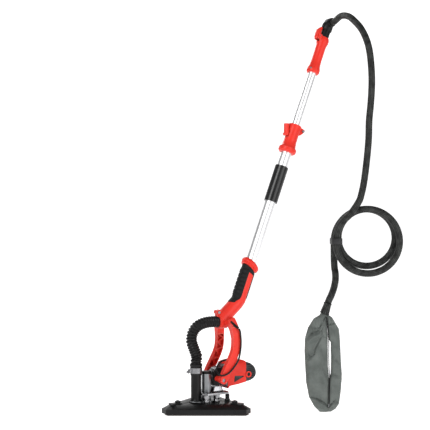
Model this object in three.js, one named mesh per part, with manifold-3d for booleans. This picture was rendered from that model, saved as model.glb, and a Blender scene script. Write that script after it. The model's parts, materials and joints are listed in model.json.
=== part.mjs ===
// Pole drywall sander: a triangular orbital head on a gimbal in a fork, a telescoping pole,
// and a hose from the top of the pole to a dust bag. Millimetres, +Z up.
//
// Shapes are built in the tool frame: the drive spindle is the line x = y = 0, the sanding
// face is z = 0, +X points to the motor and -Y is the near side. The exported group is then
// shifted so that its origin is the middle of the main grip.
import * as THREE from "three";
import { mergeVertices } from "three/addons/utils/BufferGeometryUtils.js";
import Module from "manifold-3d";

const wasm = await Module();
wasm.setup();

// ---------------------------------------------------------------- driving dimensions
const GAP = 0.3; // clearance between pieces that touch
const FACES = 20; // sides of a medium round piece
const SMALL_FACES = 10; // sides of a small round piece

const PLATE_INRADIUS = 89; // spindle to each edge of the triangular cover
const PLATE_CORNER_CUT = 24.5; // how much of each sharp corner is cut off
const CORNER_ANGLES = [60, 180, 300]; // directions of the three corners
const SKIRT_BOTTOM = 6;
const SKIRT_TOP = 20;
const DECK_TOP = 31; // top face of the cover
const DECK_INSET = 18; // how far the deck's edge lies inside the skirt
const GUARD_START = 120; // distance from the spindle where a corner guard begins
const PAD_INSET = 7; // pad edge inside the skirt
const ABRASIVE_THICKNESS = 2.7;
const ORBIT_RADIUS = 2; // eccentricity of the pad pin

const PORT_X = -38; // dust port axis
const PORT_RADIUS = 16.6;
const PORT_TOP = 136;

const HOUSING_RADIUS = 16; // spindle housing
const HOUSING_BOTTOM = DECK_TOP + 5.3;
const HOUSING_TOP = 119;
const ROTOR_Z = 109; // height of the motor shaft, which is the roll axis
const NECK_RADIUS = 9; // tube that carries the motor through the gimbal block
const MOTOR_FRONT = 61.5;
const MOTOR_REAR = 130;
const MOTOR_HALF_WIDTH = 33;

const PIVOT_X = 31; // pitch axis of the head in the fork
const PIVOT_Z = 102;
const BLOCK_HALF_WIDTH = 14;
const ARM_INNER = 44; // fork arm faces, from the middle plane
const ARM_OUTER = 60;
const ARM_HALF_WIDTH = 13;
const ARM_LINE = [[31, 102], [42, 126], [59, 156], [75, 190], [79, 221], [76, 258], [67, 295]];

const BEND = [120, 347.6]; // x and z where the neck turns into the handle
const POLE_LEAN = 21.2; // degrees from vertical
const SOCKET_Z = 283; // axis of the hose socket in the neck
const SOCKET_MOUTH = 42;
const NECK_LINE = [[54, 289], [66, 299.5], [92, 322.6], [108, 337], [118.5, 347.5], [124.5, 360]];
const HANDLE_RADIUS = 23.6;
const CORE_RADIUS = 20.5; // red core under the grip
const STRIPE_END = 98; // along the pole from the bend, as are the next ones
const GRIP_MIDDLE = 67;
const TUBE_START = 80;
const LOWER_TUBE_END = 575.5;
const LOWER_TUBE_RADIUS = 18;
const UPPER_TUBE_START = 180;
const UPPER_TUBE_END = 905;
const UPPER_TUBE_RADIUS = 14;
const TUBE_WALL = 1.5;
const SLEEVE = [348, 475];
const COLLAR_AT = 122.5;
const COLLAR_HALF = 11; // half the collar's thickness
const COLLAR_TILT = 26; // degrees that the collar leans past the pole's cross-section
const CLAMP = [526, 626];
const TOP_GRIP = [823, 956];

const HOSE_RADIUS = 11;
const HOSE_PLANE_TURN = -30; // degrees about Z: the hose hangs in this turned plane
const FLEX_HOSE_RADIUS = 17;
const CABLE_RADIUS = 2.8;
const COIL_CENTRE = [516, 0, 544]; // across, back and up in the hose plane
const COIL_INNER = 71;
const COIL_OUTER = 119;
const COIL_HALF_DEPTH = 37;

// ---------------------------------------------------------------- finishes
const RED = [0xe83a2a, 0.38, 0];
const BLACK = [0x1b1c1d, 0.5, 0];
const RUBBER = [0x232526, 0.8, 0];
const SILVER = [0xc4c8cb, 0.3, 1];
const CHROME = [0xd8dbde, 0.15, 1];
const GREY = [0x6d7274, 0.7, 0];
const COPPER = [0xa8633a, 0.4, 1];
const GRIT = [0x8a5a3c, 0.95, 0];

function finish([color, roughness, metalness]) {
  return new THREE.MeshStandardMaterial({ color, roughness, metalness });
}

function addPiece(group, name, geometry, look) {
  const mesh = new THREE.Mesh(geometry, finish(look));
  mesh.name = name;
  group.add(mesh);
}

// ---------------------------------------------------------------- joining and cutting
function toSolid(geometry) {
  const loose = geometry.index ? geometry.toNonIndexed() : geometry;
  const bare = new THREE.BufferGeometry();
  bare.setAttribute("position", loose.getAttribute("position"));
  const merged = mergeVertices(bare, 1e-3);
  const mesh = new wasm.Mesh({
    numProp: 3,
    vertProperties: merged.attributes.position.array,
    triVerts: new Uint32Array(merged.index.array),
  });
  return new wasm.Manifold(mesh);
}

function toGeometry(made) {
  const mesh = made.getMesh();
  const geometry = new THREE.BufferGeometry();
  geometry.setAttribute("position", new THREE.BufferAttribute(mesh.vertProperties, 3));
  geometry.setIndex(new THREE.BufferAttribute(mesh.triVerts, 1));
  geometry.computeVertexNormals();
  return geometry;
}

function join(...pieces) {
  return toGeometry(pieces.map(toSolid).reduce((sum, piece) => sum.add(piece)));
}

function cut(body, ...tools) {
  return toGeometry(tools.map(toSolid).reduce((rest, tool) => rest.subtract(tool), toSolid(body)));
}

function shared(first, second) {
  return toGeometry(toSolid(first).intersect(toSolid(second)));
}

// ---------------------------------------------------------------- basic shapes
const radians = THREE.MathUtils.degToRad;

function box([x0, x1], [y0, y1], [z0, z1]) {
  const geometry = new THREE.BoxGeometry(x1 - x0, y1 - y0, z1 - z0);
  return geometry.translate((x0 + x1) / 2, (y0 + y1) / 2, (z0 + z1) / 2);
}

// A profile of [radius, height] points turned about Z; it runs upwards on the outside.
function turned(profile, faces = FACES) {
  const points = profile.map(([r, z]) => new THREE.Vector2(r, z));
  return new THREE.LatheGeometry(points, faces).rotateX(Math.PI / 2);
}

function rod(radius, z0, z1, faces = FACES) {
  return turned([[0, z0], [radius, z0], [radius, z1], [0, z1]], faces);
}

function ring(inner, outer, z0, z1, faces = FACES) {
  return turned([[outer, z0], [outer, z1], [inner, z1], [inner, z0], [outer, z0]], faces);
}

const alongX = (geometry) => geometry.rotateY(Math.PI / 2);
const alongY = (geometry) => geometry.rotateX(-Math.PI / 2);

function shapeOf(outline) {
  return new THREE.Shape(outline.map(([x, y]) => new THREE.Vector2(x, y)));
}

// An outline in x and y pulled up from z0 to z1.
function prism(outline, z0, z1) {
  const geometry = new THREE.ExtrudeGeometry(shapeOf(outline), { depth: z1 - z0, bevelEnabled: false });
  return geometry.translate(0, 0, z0);
}

// An outline in x and z pulled across from y0 to y1.
function sidePrism(outline, y0, y1) {
  const geometry = new THREE.ExtrudeGeometry(shapeOf(outline), { depth: y1 - y0, bevelEnabled: false });
  return geometry.rotateX(Math.PI / 2).translate(0, y1, 0);
}

// An outline in y and z pulled along x from x0 to x1.
function frontPrism(outline, x0, x1) {
  const geometry = new THREE.ExtrudeGeometry(shapeOf(outline), { depth: x1 - x0, bevelEnabled: false });
  return geometry.rotateX(Math.PI / 2).rotateZ(Math.PI / 2).translate(x0, 0, 0);
}

// A wedge of a ring between two directions, in degrees.
function sector(inner, outer, start, end, z0, z1) {
  const shape = new THREE.Shape();
  shape.absarc(0, 0, outer, radians(start), radians(end), false);
  shape.absarc(0, 0, inner, radians(end), radians(start), true);
  const options = { depth: z1 - z0, bevelEnabled: false, curveSegments: 6 };
  return new THREE.ExtrudeGeometry(shape, options).translate(0, 0, z0);
}

function smoothLine(points) {
  return new THREE.CatmullRomCurve3(points.map(([x, y, z]) => new THREE.Vector3(x, y, z)));
}

function roundTube(points, radius, faces, steps) {
  const outline = new THREE.Shape().absarc(0, 0, radius, 0, 2 * Math.PI, false);
  const options = { extrudePath: smoothLine(points), steps, curveSegments: faces / 2, bevelEnabled: false };
  return new THREE.ExtrudeGeometry(outline, options);
}

// A round bar from one point to another whose radius changes evenly.
function taperedBar(from, to, radiusFrom, radiusTo) {
  const start = new THREE.Vector3(...from);
  const line = new THREE.Vector3(...to).sub(start);
  const bar = turned([[0, 0], [radiusFrom, 0], [radiusTo, line.length()], [0, line.length()]], SMALL_FACES);
  const turn = new THREE.Quaternion().setFromUnitVectors(new THREE.Vector3(0, 0, 1), line.normalize());
  return bar.applyQuaternion(turn).translate(...from);
}

// The outline of a strip of even width along a smooth line in x and z.
function strip(line, halfWidth, start = 0, end = 1, steps = 14) {
  const curve = smoothLine(line.map(([x, z]) => [x, 0, z]));
  const left = [];
  const right = [];
  for (let i = 0; i <= steps; i++) {
    const t = start + ((end - start) * i) / steps;
    const point = curve.getPoint(t);
    const tangent = curve.getTangent(t);
    left.push([point.x - tangent.z * halfWidth, point.z + tangent.x * halfWidth]);
    right.push([point.x + tangent.z * halfWidth, point.z - tangent.x * halfWidth]);
  }
  return right.concat(left.reverse());
}

// ---------------------------------------------------------------- places
const toPole = new THREE.Matrix4()
  .makeTranslation(BEND[0], 0, BEND[1])
  .multiply(new THREE.Matrix4().makeRotationY(radians(POLE_LEAN)));
const onPole = (geometry) => geometry.applyMatrix4(toPole);
const toCorner = (geometry, angle) => geometry.rotateZ(radians(angle));

// ---------------------------------------------------------------- sanding plate
// The triangle with cut corners whose edges lie at the given inset inside the cover's edge.
function plateOutline(inset, cornerCut = PLATE_CORNER_CUT - inset) {
  const inradius = PLATE_INRADIUS - inset;
  const reach = 2 * inradius - cornerCut;
  const half = cornerCut * Math.tan(radians(30));
  return CORNER_ANGLES.flatMap((angle) => {
    const c = Math.cos(radians(angle));
    const s = Math.sin(radians(angle));
    return [[reach * c + half * s, reach * s - half * c], [reach * c - half * s, reach * s + half * c]];
  });
}

function coverShell() {
  const slope = DECK_TOP - SKIRT_TOP;
  const options = { depth: 1, bevelThickness: slope, bevelSize: DECK_INSET, bevelSegments: 1 };
  const deck = new THREE.ExtrudeGeometry(shapeOf(plateOutline(DECK_INSET)), options);
  deck.translate(0, 0, DECK_TOP - 1 - slope);
  const outer = join(prism(plateOutline(0), SKIRT_BOTTOM, SKIRT_TOP), deck);
  const wideHollow = prism(plateOutline(4), 0, 17);
  const deepHollow = prism(plateOutline(27, 3), 0, DECK_TOP - 5);
  const dustHole = rod(14.5, 0, 40).translate(PORT_X, 0, 0);
  return cut(outer, wideHollow, deepHollow, rod(13, 0, 40), dustHole);
}

const cornerBlock = (start, angle) => toCorner(box([start, 200], [-120, 120], [0, 60]), angle);

function headCover(shell) {
  return cut(shell, ...CORNER_ANGLES.map((angle) => cornerBlock(GUARD_START - GAP, angle)));
}

function cornerGuard(shell, angle) {
  const tab = box([94, 131], [-11, 11], [DECK_TOP + GAP, DECK_TOP + 4]);
  const root = box([121.5, 131], [-11, 11], [DECK_TOP - 3, DECK_TOP + 4]);
  const boss = rod(9, DECK_TOP + GAP, DECK_TOP + 10, SMALL_FACES).translate(104, 0, 0);
  const screwHole = rod(2.4, DECK_TOP + 2, DECK_TOP + 12, SMALL_FACES).translate(104, 0, 0);
  const fastening = toCorner(cut(join(tab, root, boss), screwHole), angle);
  return join(shared(shell, cornerBlock(GUARD_START + GAP, angle)), fastening);
}

// The pad and its sheet are centred on the pin, which stands off the spindle axis.
function padPlate() {
  const plate = prism(plateOutline(PAD_INSET), ABRASIVE_THICKNESS + GAP, 9);
  const hub = rod(14, 8.5, 15);
  const pinHole = rod(4.4, 6.5, 16, SMALL_FACES);
  return cut(join(plate, hub), pinHole).translate(ORBIT_RADIUS, 0, 0);
}

function abrasiveSheet() {
  return prism(plateOutline(PAD_INSET), 0, ABRASIVE_THICKNESS).translate(ORBIT_RADIUS, 0, 0);
}

function makePlate(group) {
  const shell = coverShell();
  addPiece(group, "head_cover", headCover(shell), BLACK);
  CORNER_ANGLES.forEach((angle, i) => {
    addPiece(group, "corner_guard_" + (i + 1), cornerGuard(shell, angle), BLACK);
  });
  addPiece(group, "pad_plate", padPlate(), RUBBER);
  addPiece(group, "abrasive_sheet", abrasiveSheet(), GRIT);
}

// ---------------------------------------------------------------- parts on the plate
function baseFlange() {
  const flange = ring(6, 30.5, DECK_TOP + GAP, DECK_TOP + 5, FACES);
  return cut(flange, rod(22.5, 0, 60).translate(PORT_X, 0, 0));
}

function dustPort() {
  const inner = PORT_RADIUS - 3;
  const foot = DECK_TOP + GAP;
  const profile = [
    [22, foot], [22, foot + 3], [PORT_RADIUS + 1.5, foot + 7], [PORT_RADIUS, foot + 14],
    [PORT_RADIUS, PORT_TOP], [inner, PORT_TOP], [inner, foot], [22, foot],
  ];
  return turned(profile, FACES).translate(PORT_X, 0, 0);
}

function hoseCuff() {
  const inner = PORT_RADIUS + GAP;
  const profile = [
    [inner + 1.5, 118], [inner + 1.5, 143], [20.3, 146], [20.3, 152],
    [inner, 152], [inner, 118], [inner + 1.5, 118],
  ];
  return turned(profile, FACES).translate(PORT_X, 0, 0);
}

// Worm-drive band with the block of its screw on the side that faces away from the spindle.
function hoseClampBand() {
  const inner = PORT_RADIUS + GAP + 1.5 + GAP;
  const band = ring(inner, inner + 1.2, 124, 141, FACES);
  const wormBlock = box([-inner - 7, -inner - 0.6], [-6, 6], [128, 138]);
  return join(band, wormBlock).translate(PORT_X, 0, 0);
}

// The casting that ties the housing to the deck: a plate on four ribbed cups, with two lugs.
function cradle() {
  const top = 62;
  const outline = [[-30, -30], [-20, -46], [56, -46], [62, -34], [62, 34], [56, 46], [-20, 46], [-30, 30]];
  const plate = prism(outline, 56, top);
  const cup = [
    [0, DECK_TOP + GAP], [10, DECK_TOP + GAP], [10, 40], [8.6, 42], [10, 44], [10, 57], [0, 57],
  ];
  const cups = [-20, 16].flatMap((x) => [-38, 38].map((y) => turned(cup, 12).translate(x, y, 0)));
  const lugs = [-1, 1].map((side) => {
    return sidePrism([[20, top - 1], [54, top - 1], [50, 76], [24, 76]], side * 10 - 3, side * 10 + 3);
  });
  const portRoom = rod(PORT_RADIUS + 2, 0, 90, FACES).translate(PORT_X, 0, 0);
  return cut(join(plate, ...cups, ...lugs), rod(HOUSING_RADIUS + GAP, 0, 90), portRoom);
}

function bumper(side) {
  const base = DECK_TOP + GAP;
  const profile = [
    [0, base], [9, base], [9, base + 5], [7, base + 8], [7, base + 20], [5, base + 23], [0, base + 23],
  ];
  return turned(profile, SMALL_FACES).translate(58, side * 34, 0);
}

function makePlateFittings(group) {
  addPiece(group, "base_flange", baseFlange(), SILVER);
  addPiece(group, "dust_port", dustPort(), BLACK);
  addPiece(group, "hose_cuff", hoseCuff(), BLACK);
  addPiece(group, "hose_clamp_band", hoseClampBand(), CHROME);
  addPiece(group, "cradle", cradle(), CHROME);
  addPiece(group, "bumper_near", bumper(-1), RUBBER);
  addPiece(group, "bumper_far", bumper(1), RUBBER);
}

// ---------------------------------------------------------------- spindle and gears
const GEAR_RADIUS = 12;
const PINION_RADIUS = 4.5;
const MESH_GAP = 0.4; // the gears are plain pitch cones, kept this far apart

function gearHousing() {
  const barrel = rod(HOUSING_RADIUS, HOUSING_BOTTOM, HOUSING_TOP, 28);
  const neck = alongX(rod(NECK_RADIUS, 8, MOTOR_FRONT - 4.5)).translate(0, 0, ROTOR_Z);
  const gearRoom = rod(HOUSING_RADIUS - 3, 60, HOUSING_TOP + 5);
  const bearingSeat = rod(9, HOUSING_BOTTOM - 5, 61);
  const shaftRoom = alongX(rod(6.5, 0, MOTOR_FRONT)).translate(0, 0, ROTOR_Z);
  return cut(join(barrel, neck), gearRoom, bearingSeat, shaftRoom);
}

function spindleCap() {
  const base = HOUSING_TOP + GAP;
  return turned([[0, base], [16.5, base], [16.5, base + 5], [14.5, base + 7.5], [0, base + 7.5]], FACES);
}

function driveSpindle() {
  const shaft = rod(5, 21, 98, SMALL_FACES);
  const counterweight = prism([[-20, -9], [-10, -18], [6, -14], [6, 14], [-10, 18], [-20, 9]], 16, 22);
  const pin = rod(4, 7, 17, SMALL_FACES).translate(ORBIT_RADIUS, 0, 0);
  return join(shaft, counterweight, pin);
}

// Seen from the gear's apex on the motor axis, the pinion's cone narrows towards the spindle.
function bevelGear() {
  const slope = PINION_RADIUS / GEAR_RADIUS;
  const rim = ROTOR_Z - PINION_RADIUS - MESH_GAP;
  const innerRadius = 6.6;
  const profile = [
    [GEAR_RADIUS, rim - 4], [GEAR_RADIUS, rim],
    [innerRadius, rim + (GEAR_RADIUS - innerRadius) * slope],
    [5.3, rim - 1], [5.3, rim - 9], [9, rim - 9], [GEAR_RADIUS, rim - 4],
  ];
  return turned(profile);
}

function armature() {
  const slope = PINION_RADIUS / GEAR_RADIUS;
  const profile = [
    [0, 6.8], [6.8 * slope, 6.8], [PINION_RADIUS, GEAR_RADIUS], [PINION_RADIUS, 13], [4, 14],
    [4, 84], [17.5, 85], [17.5, 110], [9, 112], [9, 126], [4, 127], [4, 157], [0, 157],
  ];
  return alongX(turned(profile, 18)).translate(0, 0, ROTOR_Z);
}

function coolingFan() {
  const hub = ring(4.3, 8, 66, 76, 18);
  const disc = ring(7.5, 20, 66, 67.5, 18);
  const blades = [0, 60, 120, 180, 240, 300].map((angle) => {
    return box([7.5, 19], [-0.8, 0.8], [67, 75]).rotateZ(radians(angle));
  });
  return alongX(join(hub, disc, ...blades)).translate(0, 0, ROTOR_Z);
}

function makeDrive(group) {
  addPiece(group, "gear_housing", gearHousing(), SILVER);
  addPiece(group, "spindle_cap", spindleCap(), BLACK);
  addPiece(group, "spindle_bearing", ring(5.3, 8.7, 44, 54), SILVER);
  addPiece(group, "drive_spindle", driveSpindle(), SILVER);
  addPiece(group, "bevel_gear", bevelGear(), SILVER);
  addPiece(group, "armature", armature(), COPPER);
  addPiece(group, "cooling_fan", coolingFan(), BLACK);
}

// ---------------------------------------------------------------- motor
const BRUSH_X = 137;
const BRUSH_Z = 110;

// A rounded outline in y and z for the motor's cross-section.
function motorSection(halfWidth, bottom, top, corner) {
  const outline = [];
  const centres = [[1, 1, 0], [-1, 1, 90], [-1, -1, 180], [1, -1, 270]];
  for (const [sideY, sideZ, start] of centres) {
    const y = sideY * (halfWidth - corner);
    const z = sideZ > 0 ? top - corner : bottom + corner;
    for (let turn = 0; turn <= 90; turn += 22.5) {
      const angle = radians(start + turn);
      outline.push([y + corner * Math.cos(angle), z + corner * Math.sin(angle)]);
    }
  }
  return outline;
}

function motorHousing() {
  const side = [
    [MOTOR_FRONT, 80], [MOTOR_FRONT, 74], [63.5, 69], [68, 77], [102, 81], [MOTOR_REAR, 86],
    [MOTOR_REAR, 152], [124, 156], [106, 159], [84, 157], [70, 153], [MOTOR_FRONT, 148],
  ];
  const body = shared(sidePrism(side, -40, 40), frontPrism(motorSection(MOTOR_HALF_WIDTH, 60, 160, 20), 50, 150));
  const brushBosses = [-1, 1].map((end) => {
    const boss = alongY(rod(10, MOTOR_HALF_WIDTH - 0.5, MOTOR_HALF_WIDTH + 5.5, 20));
    return boss.rotateZ(end > 0 ? 0 : Math.PI).translate(BRUSH_X, 0, BRUSH_Z);
  });
  const stator = alongX(rod(21.5, MOTOR_FRONT - 1, 112)).translate(0, 0, ROTOR_Z);
  const commutator = alongX(rod(16, 111, MOTOR_REAR + 1)).translate(0, 0, ROTOR_Z);
  const capHoles = [-1, 1].map((end) => {
    const hole = alongY(rod(6.3, MOTOR_HALF_WIDTH + 0.2, MOTOR_HALF_WIDTH + 7, SMALL_FACES));
    return hole.rotateZ(end > 0 ? 0 : Math.PI).translate(BRUSH_X, 0, BRUSH_Z);
  });
  return cut(join(body, ...brushBosses), stator, commutator, ...capHoles);
}

function motorRearCap() {
  const front = MOTOR_REAR + GAP;
  const side = [
    [front, 86], [146, 88], [158, 94], [166, 103], [168.5, 113], [166, 125], [159, 136], [148, 145], [front, 151],
  ];
  const section = frontPrism(motorSection(MOTOR_HALF_WIDTH - 1, 76, 155, 24), 120, 180);
  const body = shared(sidePrism(side, -40, 40), section);
  const hollow = alongX(rod(15.5, MOTOR_REAR - 1, 151)).translate(0, 0, ROTOR_Z);
  const shaftEnd = alongX(rod(4.4, 150, 160, SMALL_FACES)).translate(0, 0, ROTOR_Z);
  const vents = [100, 107, 114, 121].map((z) => box([137, 148], [-40, 40], [z, z + 3]));
  return cut(body, hollow, shaftEnd, ...vents);
}

function brushCap(end) {
  const cap = alongY(rod(6, MOTOR_HALF_WIDTH + 0.5, MOTOR_HALF_WIDTH + 5, SMALL_FACES));
  return cap.rotateZ(end > 0 ? 0 : Math.PI).translate(BRUSH_X, 0, BRUSH_Z);
}

function motorFlange() {
  const plate = sidePrism([[57.3, 84], [61.2, 74], [61.2, 146], [57.3, 142]], -40, 40);
  const section = frontPrism(motorSection(30, 60, 158, 18), 50, 70);
  return cut(shared(plate, section), alongX(rod(6.5, 50, 70)).translate(0, 0, ROTOR_Z));
}

function makeMotor(group) {
  addPiece(group, "motor_flange", motorFlange(), SILVER);
  addPiece(group, "motor_housing", motorHousing(), RED);
  addPiece(group, "motor_rear_cap", motorRearCap(), BLACK);
  addPiece(group, "motor_stator", alongX(ring(18.3, 21.2, 84, 110, FACES)).translate(0, 0, ROTOR_Z), COPPER);
  addPiece(group, "brush_cap_near", brushCap(-1), BLACK);
  addPiece(group, "brush_cap_far", brushCap(1), BLACK);
}

// ---------------------------------------------------------------- gimbal block
function gimbalBlock() {
  const side = [[18.5, 80], [55, 80], [55, 128], [48, 135], [28, 135], [18.5, 127]];
  const body = sidePrism(side, -BLOCK_HALF_WIDTH, BLOCK_HALF_WIDTH);
  const trunnions = [-1, 1].map((end) => {
    const pin = alongY(rod(5, BLOCK_HALF_WIDTH - 2, ARM_INNER - 1, SMALL_FACES));
    return pin.rotateZ(end > 0 ? 0 : Math.PI).translate(PIVOT_X, 0, PIVOT_Z);
  });
  const rollBore = alongX(rod(NECK_RADIUS + 0.4, 10, 60)).translate(0, 0, ROTOR_Z);
  return cut(join(body, ...trunnions), rollBore);
}

function pivotBolt(end) {
  const shank = rod(3, ARM_INNER + 0.5, 53, SMALL_FACES);
  const bolt = alongY(join(shank, rod(6, 52, 57, SMALL_FACES)));
  return bolt.rotateZ(end > 0 ? 0 : Math.PI).translate(PIVOT_X, 0, PIVOT_Z);
}

// ---------------------------------------------------------------- fork, neck and handle core
const GLAND_LINE = [[62, 46, 285], [83, 63, 265]]; // the same on both sides of the middle plane

const mirrored = ([x, y, z], side) => [x, side * y, z];

function glandBar(side, extra) {
  return taperedBar(mirrored(GLAND_LINE[0], side), mirrored(GLAND_LINE[1], side), 5.4 + extra, 4 + extra);
}

function forkArms() {
  const arms = sidePrism(strip(ARM_LINE, ARM_HALF_WIDTH), -70, 70);
  const outer = [[60, 85], [60, 246], [55, 276], [44, 298], [30, 312]];
  const inner = [[0, 284], [26, 278], [38, 258], [44, 232], [44, 85]];
  const half = outer.concat([[0, 312]], inner);
  const flip = half.map(([y, z]) => [-y, z]).reverse();
  return join(shared(arms, frontPrism(half, 0, 130)), shared(arms, frontPrism(flip, 0, 130)));
}

// The pivot end of one arm: a round eye and the long boss that reaches in to the block.
function armEnd(side) {
  const eye = rod(12, ARM_INNER, ARM_OUTER, 20);
  const boss = rod(9, BLOCK_HALF_WIDTH + 0.7, ARM_OUTER, 20);
  return alongY(join(eye, boss)).rotateZ(side > 0 ? 0 : Math.PI).translate(PIVOT_X, 0, PIVOT_Z);
}

function armBore(side) {
  const bore = join(rod(5.4, 10, 47, SMALL_FACES), rod(6.5, 46, 70, SMALL_FACES));
  return alongY(bore).rotateZ(side > 0 ? 0 : Math.PI).translate(PIVOT_X, 0, PIVOT_Z);
}

// The inner face of each arm is an open channel with zigzag ribs, over this share of the arm line.
const CHANNEL_START = 0.16;
const CHANNEL_END = 0.9;
const RIB_COUNT = 10;
const RIB_HALF = 1.2; // half the height of a rib

function armChannel(side) {
  const pocket = strip(ARM_LINE, ARM_HALF_WIDTH - 2.2, CHANNEL_START, CHANNEL_END);
  const span = side > 0 ? [ARM_INNER - 1, ARM_OUTER - 4] : [4 - ARM_OUTER, 1 - ARM_INNER];
  return sidePrism(pocket, ...span);
}

function armRibs(side) {
  const curve = smoothLine(ARM_LINE.map(([x, z]) => [x, 0, z]));
  const span = side > 0 ? [ARM_INNER + 0.5, ARM_OUTER - 3] : [3 - ARM_OUTER, -ARM_INNER - 0.5];
  const ribs = [];
  for (let i = 0; i < RIB_COUNT; i++) {
    const ends = [i, i + 1].map((step, k) => {
      const t = CHANNEL_START + ((CHANNEL_END - CHANNEL_START) * step) / RIB_COUNT;
      const point = curve.getPoint(t);
      const tangent = curve.getTangent(t);
      const across = ((i + k) % 2 ? 1 : -1) * (ARM_HALF_WIDTH - 1.6);
      return [point.x + tangent.z * across, point.z - tangent.x * across];
    });
    const [[x0, z0], [x1, z1]] = ends;
    const outline = [[x0, z0 - RIB_HALF], [x1, z1 - RIB_HALF], [x1, z1 + RIB_HALF], [x0, z0 + RIB_HALF]];
    ribs.push(sidePrism(outline, ...span));
  }
  return ribs;
}

// Everything above the collar's slanting lower face, in the pole frame.
function collarRoom() {
  const room = box([-60, 60], [-60, 60], [-COLLAR_HALF - GAP, 60]);
  return room.rotateY(radians(COLLAR_TILT)).translate(0, 0, COLLAR_AT);
}

function handleCore() {
  const core = rod(CORE_RADIUS, -2, COLLAR_AT, FACES);
  const stripes = [[-107, -56], [56, 107]].map(([a, b]) => {
    return sector(CORE_RADIUS - 3, HANDLE_RADIUS, a, b, -2, STRIPE_END);
  });
  return onPole(cut(join(core, ...stripes), collarRoom()));
}

function socketLug() {
  const post = sidePrism([[36, 300], [60, 296], [60, 316], [46, 322], [36, 318]], -8, 8);
  const eye = alongY(rod(7, -11, 11, SMALL_FACES)).translate(40, 0, 314);
  return join(post, eye);
}

const SWITCH_AT = 39;
const DIAL_AT = 72;

function controlPockets() {
  const switchPocket = box([-5, 12], [18.5, 30], [SWITCH_AT - 11.5, SWITCH_AT + 11.5]);
  const dialPocket = alongY(rod(8.6, 19, 30, 20)).translate(3.5, 0, DIAL_AT);
  return [onPole(switchPocket), onPole(dialPocket)];
}

function wholeYoke() {
  const neckPath = NECK_LINE.map(([x, z]) => [x, 0, z]);
  const neck = roundTube(neckPath, HANDLE_RADIUS, 24, 9);
  const socket = alongX(rod(23, SOCKET_MOUTH, 70, FACES)).translate(0, 0, SOCKET_Z);
  const outer = join(neck, handleCore(), socket, forkArms(), armEnd(-1), armEnd(1), socketLug());
  const ductPath = [[50, 0, 284], ...neckPath.slice(1), [136, 0, 388.8]];
  const duct = roundTube(ductPath, 15.5, 12, 8);
  const socketBore = alongX(rod(18, SOCKET_MOUTH - 8, 60, FACES)).translate(0, 0, SOCKET_Z);
  const tubeSeat = onPole(rod(LOWER_TUBE_RADIUS + GAP, TUBE_START - GAP, 130, FACES));
  const upperDuct = onPole(rod(15.5, 20, 90, SMALL_FACES));
  const lugHole = alongY(rod(2.9, -30, 30, SMALL_FACES)).translate(40, 0, 314);
  const hollow = cut(
    outer, duct, socketBore, tubeSeat, upperDuct, lugHole, armBore(-1), armBore(1),
    armChannel(-1), armChannel(1), glandBar(-1, GAP), glandBar(1, GAP), ...controlPockets(),
  );
  return join(hollow, ...armRibs(-1), ...armRibs(1));
}

function makeYoke(group) {
  const yoke = wholeYoke();
  const nearHalf = box([-100, 300], [-100, -GAP / 2], [0, 700]);
  const farHalf = box([-100, 300], [GAP / 2, 100], [0, 700]);
  addPiece(group, "yoke_near_half", shared(yoke, nearHalf), RED);
  addPiece(group, "yoke_far_half", shared(yoke, farHalf), RED);
  addPiece(group, "pivot_bolt_near", pivotBolt(-1), SILVER);
  addPiece(group, "pivot_bolt_far", pivotBolt(1), SILVER);
  addPiece(group, "cable_gland", glandBar(-1, 0), BLACK);
  addPiece(group, "power_inlet", glandBar(1, 0), BLACK);
  const socketScrew = join(rod(2.5, -12, 9, SMALL_FACES), rod(4.5, -14, -11.3, SMALL_FACES));
  addPiece(group, "socket_screw", alongY(socketScrew).translate(40, 0, 314), SILVER);
}

function gripOvermould() {
  const inner = CORE_RADIUS + GAP;
  const outer = HANDLE_RADIUS + 0.4;
  const top = COLLAR_AT + 10;
  const back = sector(inner, outer, 108.5, 251.5, 17, STRIPE_END + 2);
  const front = sector(inner, outer, -54.5, 54.5, 17, STRIPE_END + 2);
  const cuff = ring(inner, outer, STRIPE_END + GAP, top, FACES);
  return cut(join(back, front, cuff), collarRoom());
}

// ---------------------------------------------------------------- switch and dial
function powerSwitch() {
  const rocker = [[21.5, -10.5], [24, -10.5], [22.8, 0], [26, 10.5], [21.8, 10.5], [19.6, 0]];
  return frontPrism(rocker, -4, 11).translate(0, 0, SWITCH_AT);
}

function speedDial() {
  const disc = rod(8, 19.4, 24.5, 18);
  const grip = box([-6.5, 6.5], [-1.2, 1.2], [24, 26.5]);
  return alongY(join(disc, grip)).translate(3.5, 0, DIAL_AT);
}

// ---------------------------------------------------------------- pole
function neckCollar() {
  const half = COLLAR_HALF;
  const profile = [
    [0, -half], [26, -half], [27.5, -half + 2], [27, -half + 4], [25.5, -half + 5], [29.5, -half + 6.5],
    [31, -1], [30.5, 5], [28, half - 2], [24, half], [0, half],
  ];
  const flange = turned(profile, FACES);
  flange.scale(1.09, 0.97, 1).rotateY(radians(COLLAR_TILT)).translate(0, 0, COLLAR_AT);
  return cut(flange, rod(LOWER_TUBE_RADIUS + GAP, 60, 200, FACES));
}

const LEVER_FOOT = [-27, 584]; // hinge of the clamp lever, across and along the pole
const LEVER_LINE = [[-22.3, 0, 584], [-34.8, 0, 619]];

function leverBar(extra) {
  return taperedBar(LEVER_LINE[0], LEVER_LINE[1], 9.3 + extra, 9.3 + extra);
}

function clampLever() {
  const eye = alongY(rod(5.5, -8, 8, SMALL_FACES)).translate(LEVER_FOOT[0], 0, LEVER_FOOT[1]);
  return cut(join(leverBar(0), eye), rod(16.8, 500, 700));
}

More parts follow.
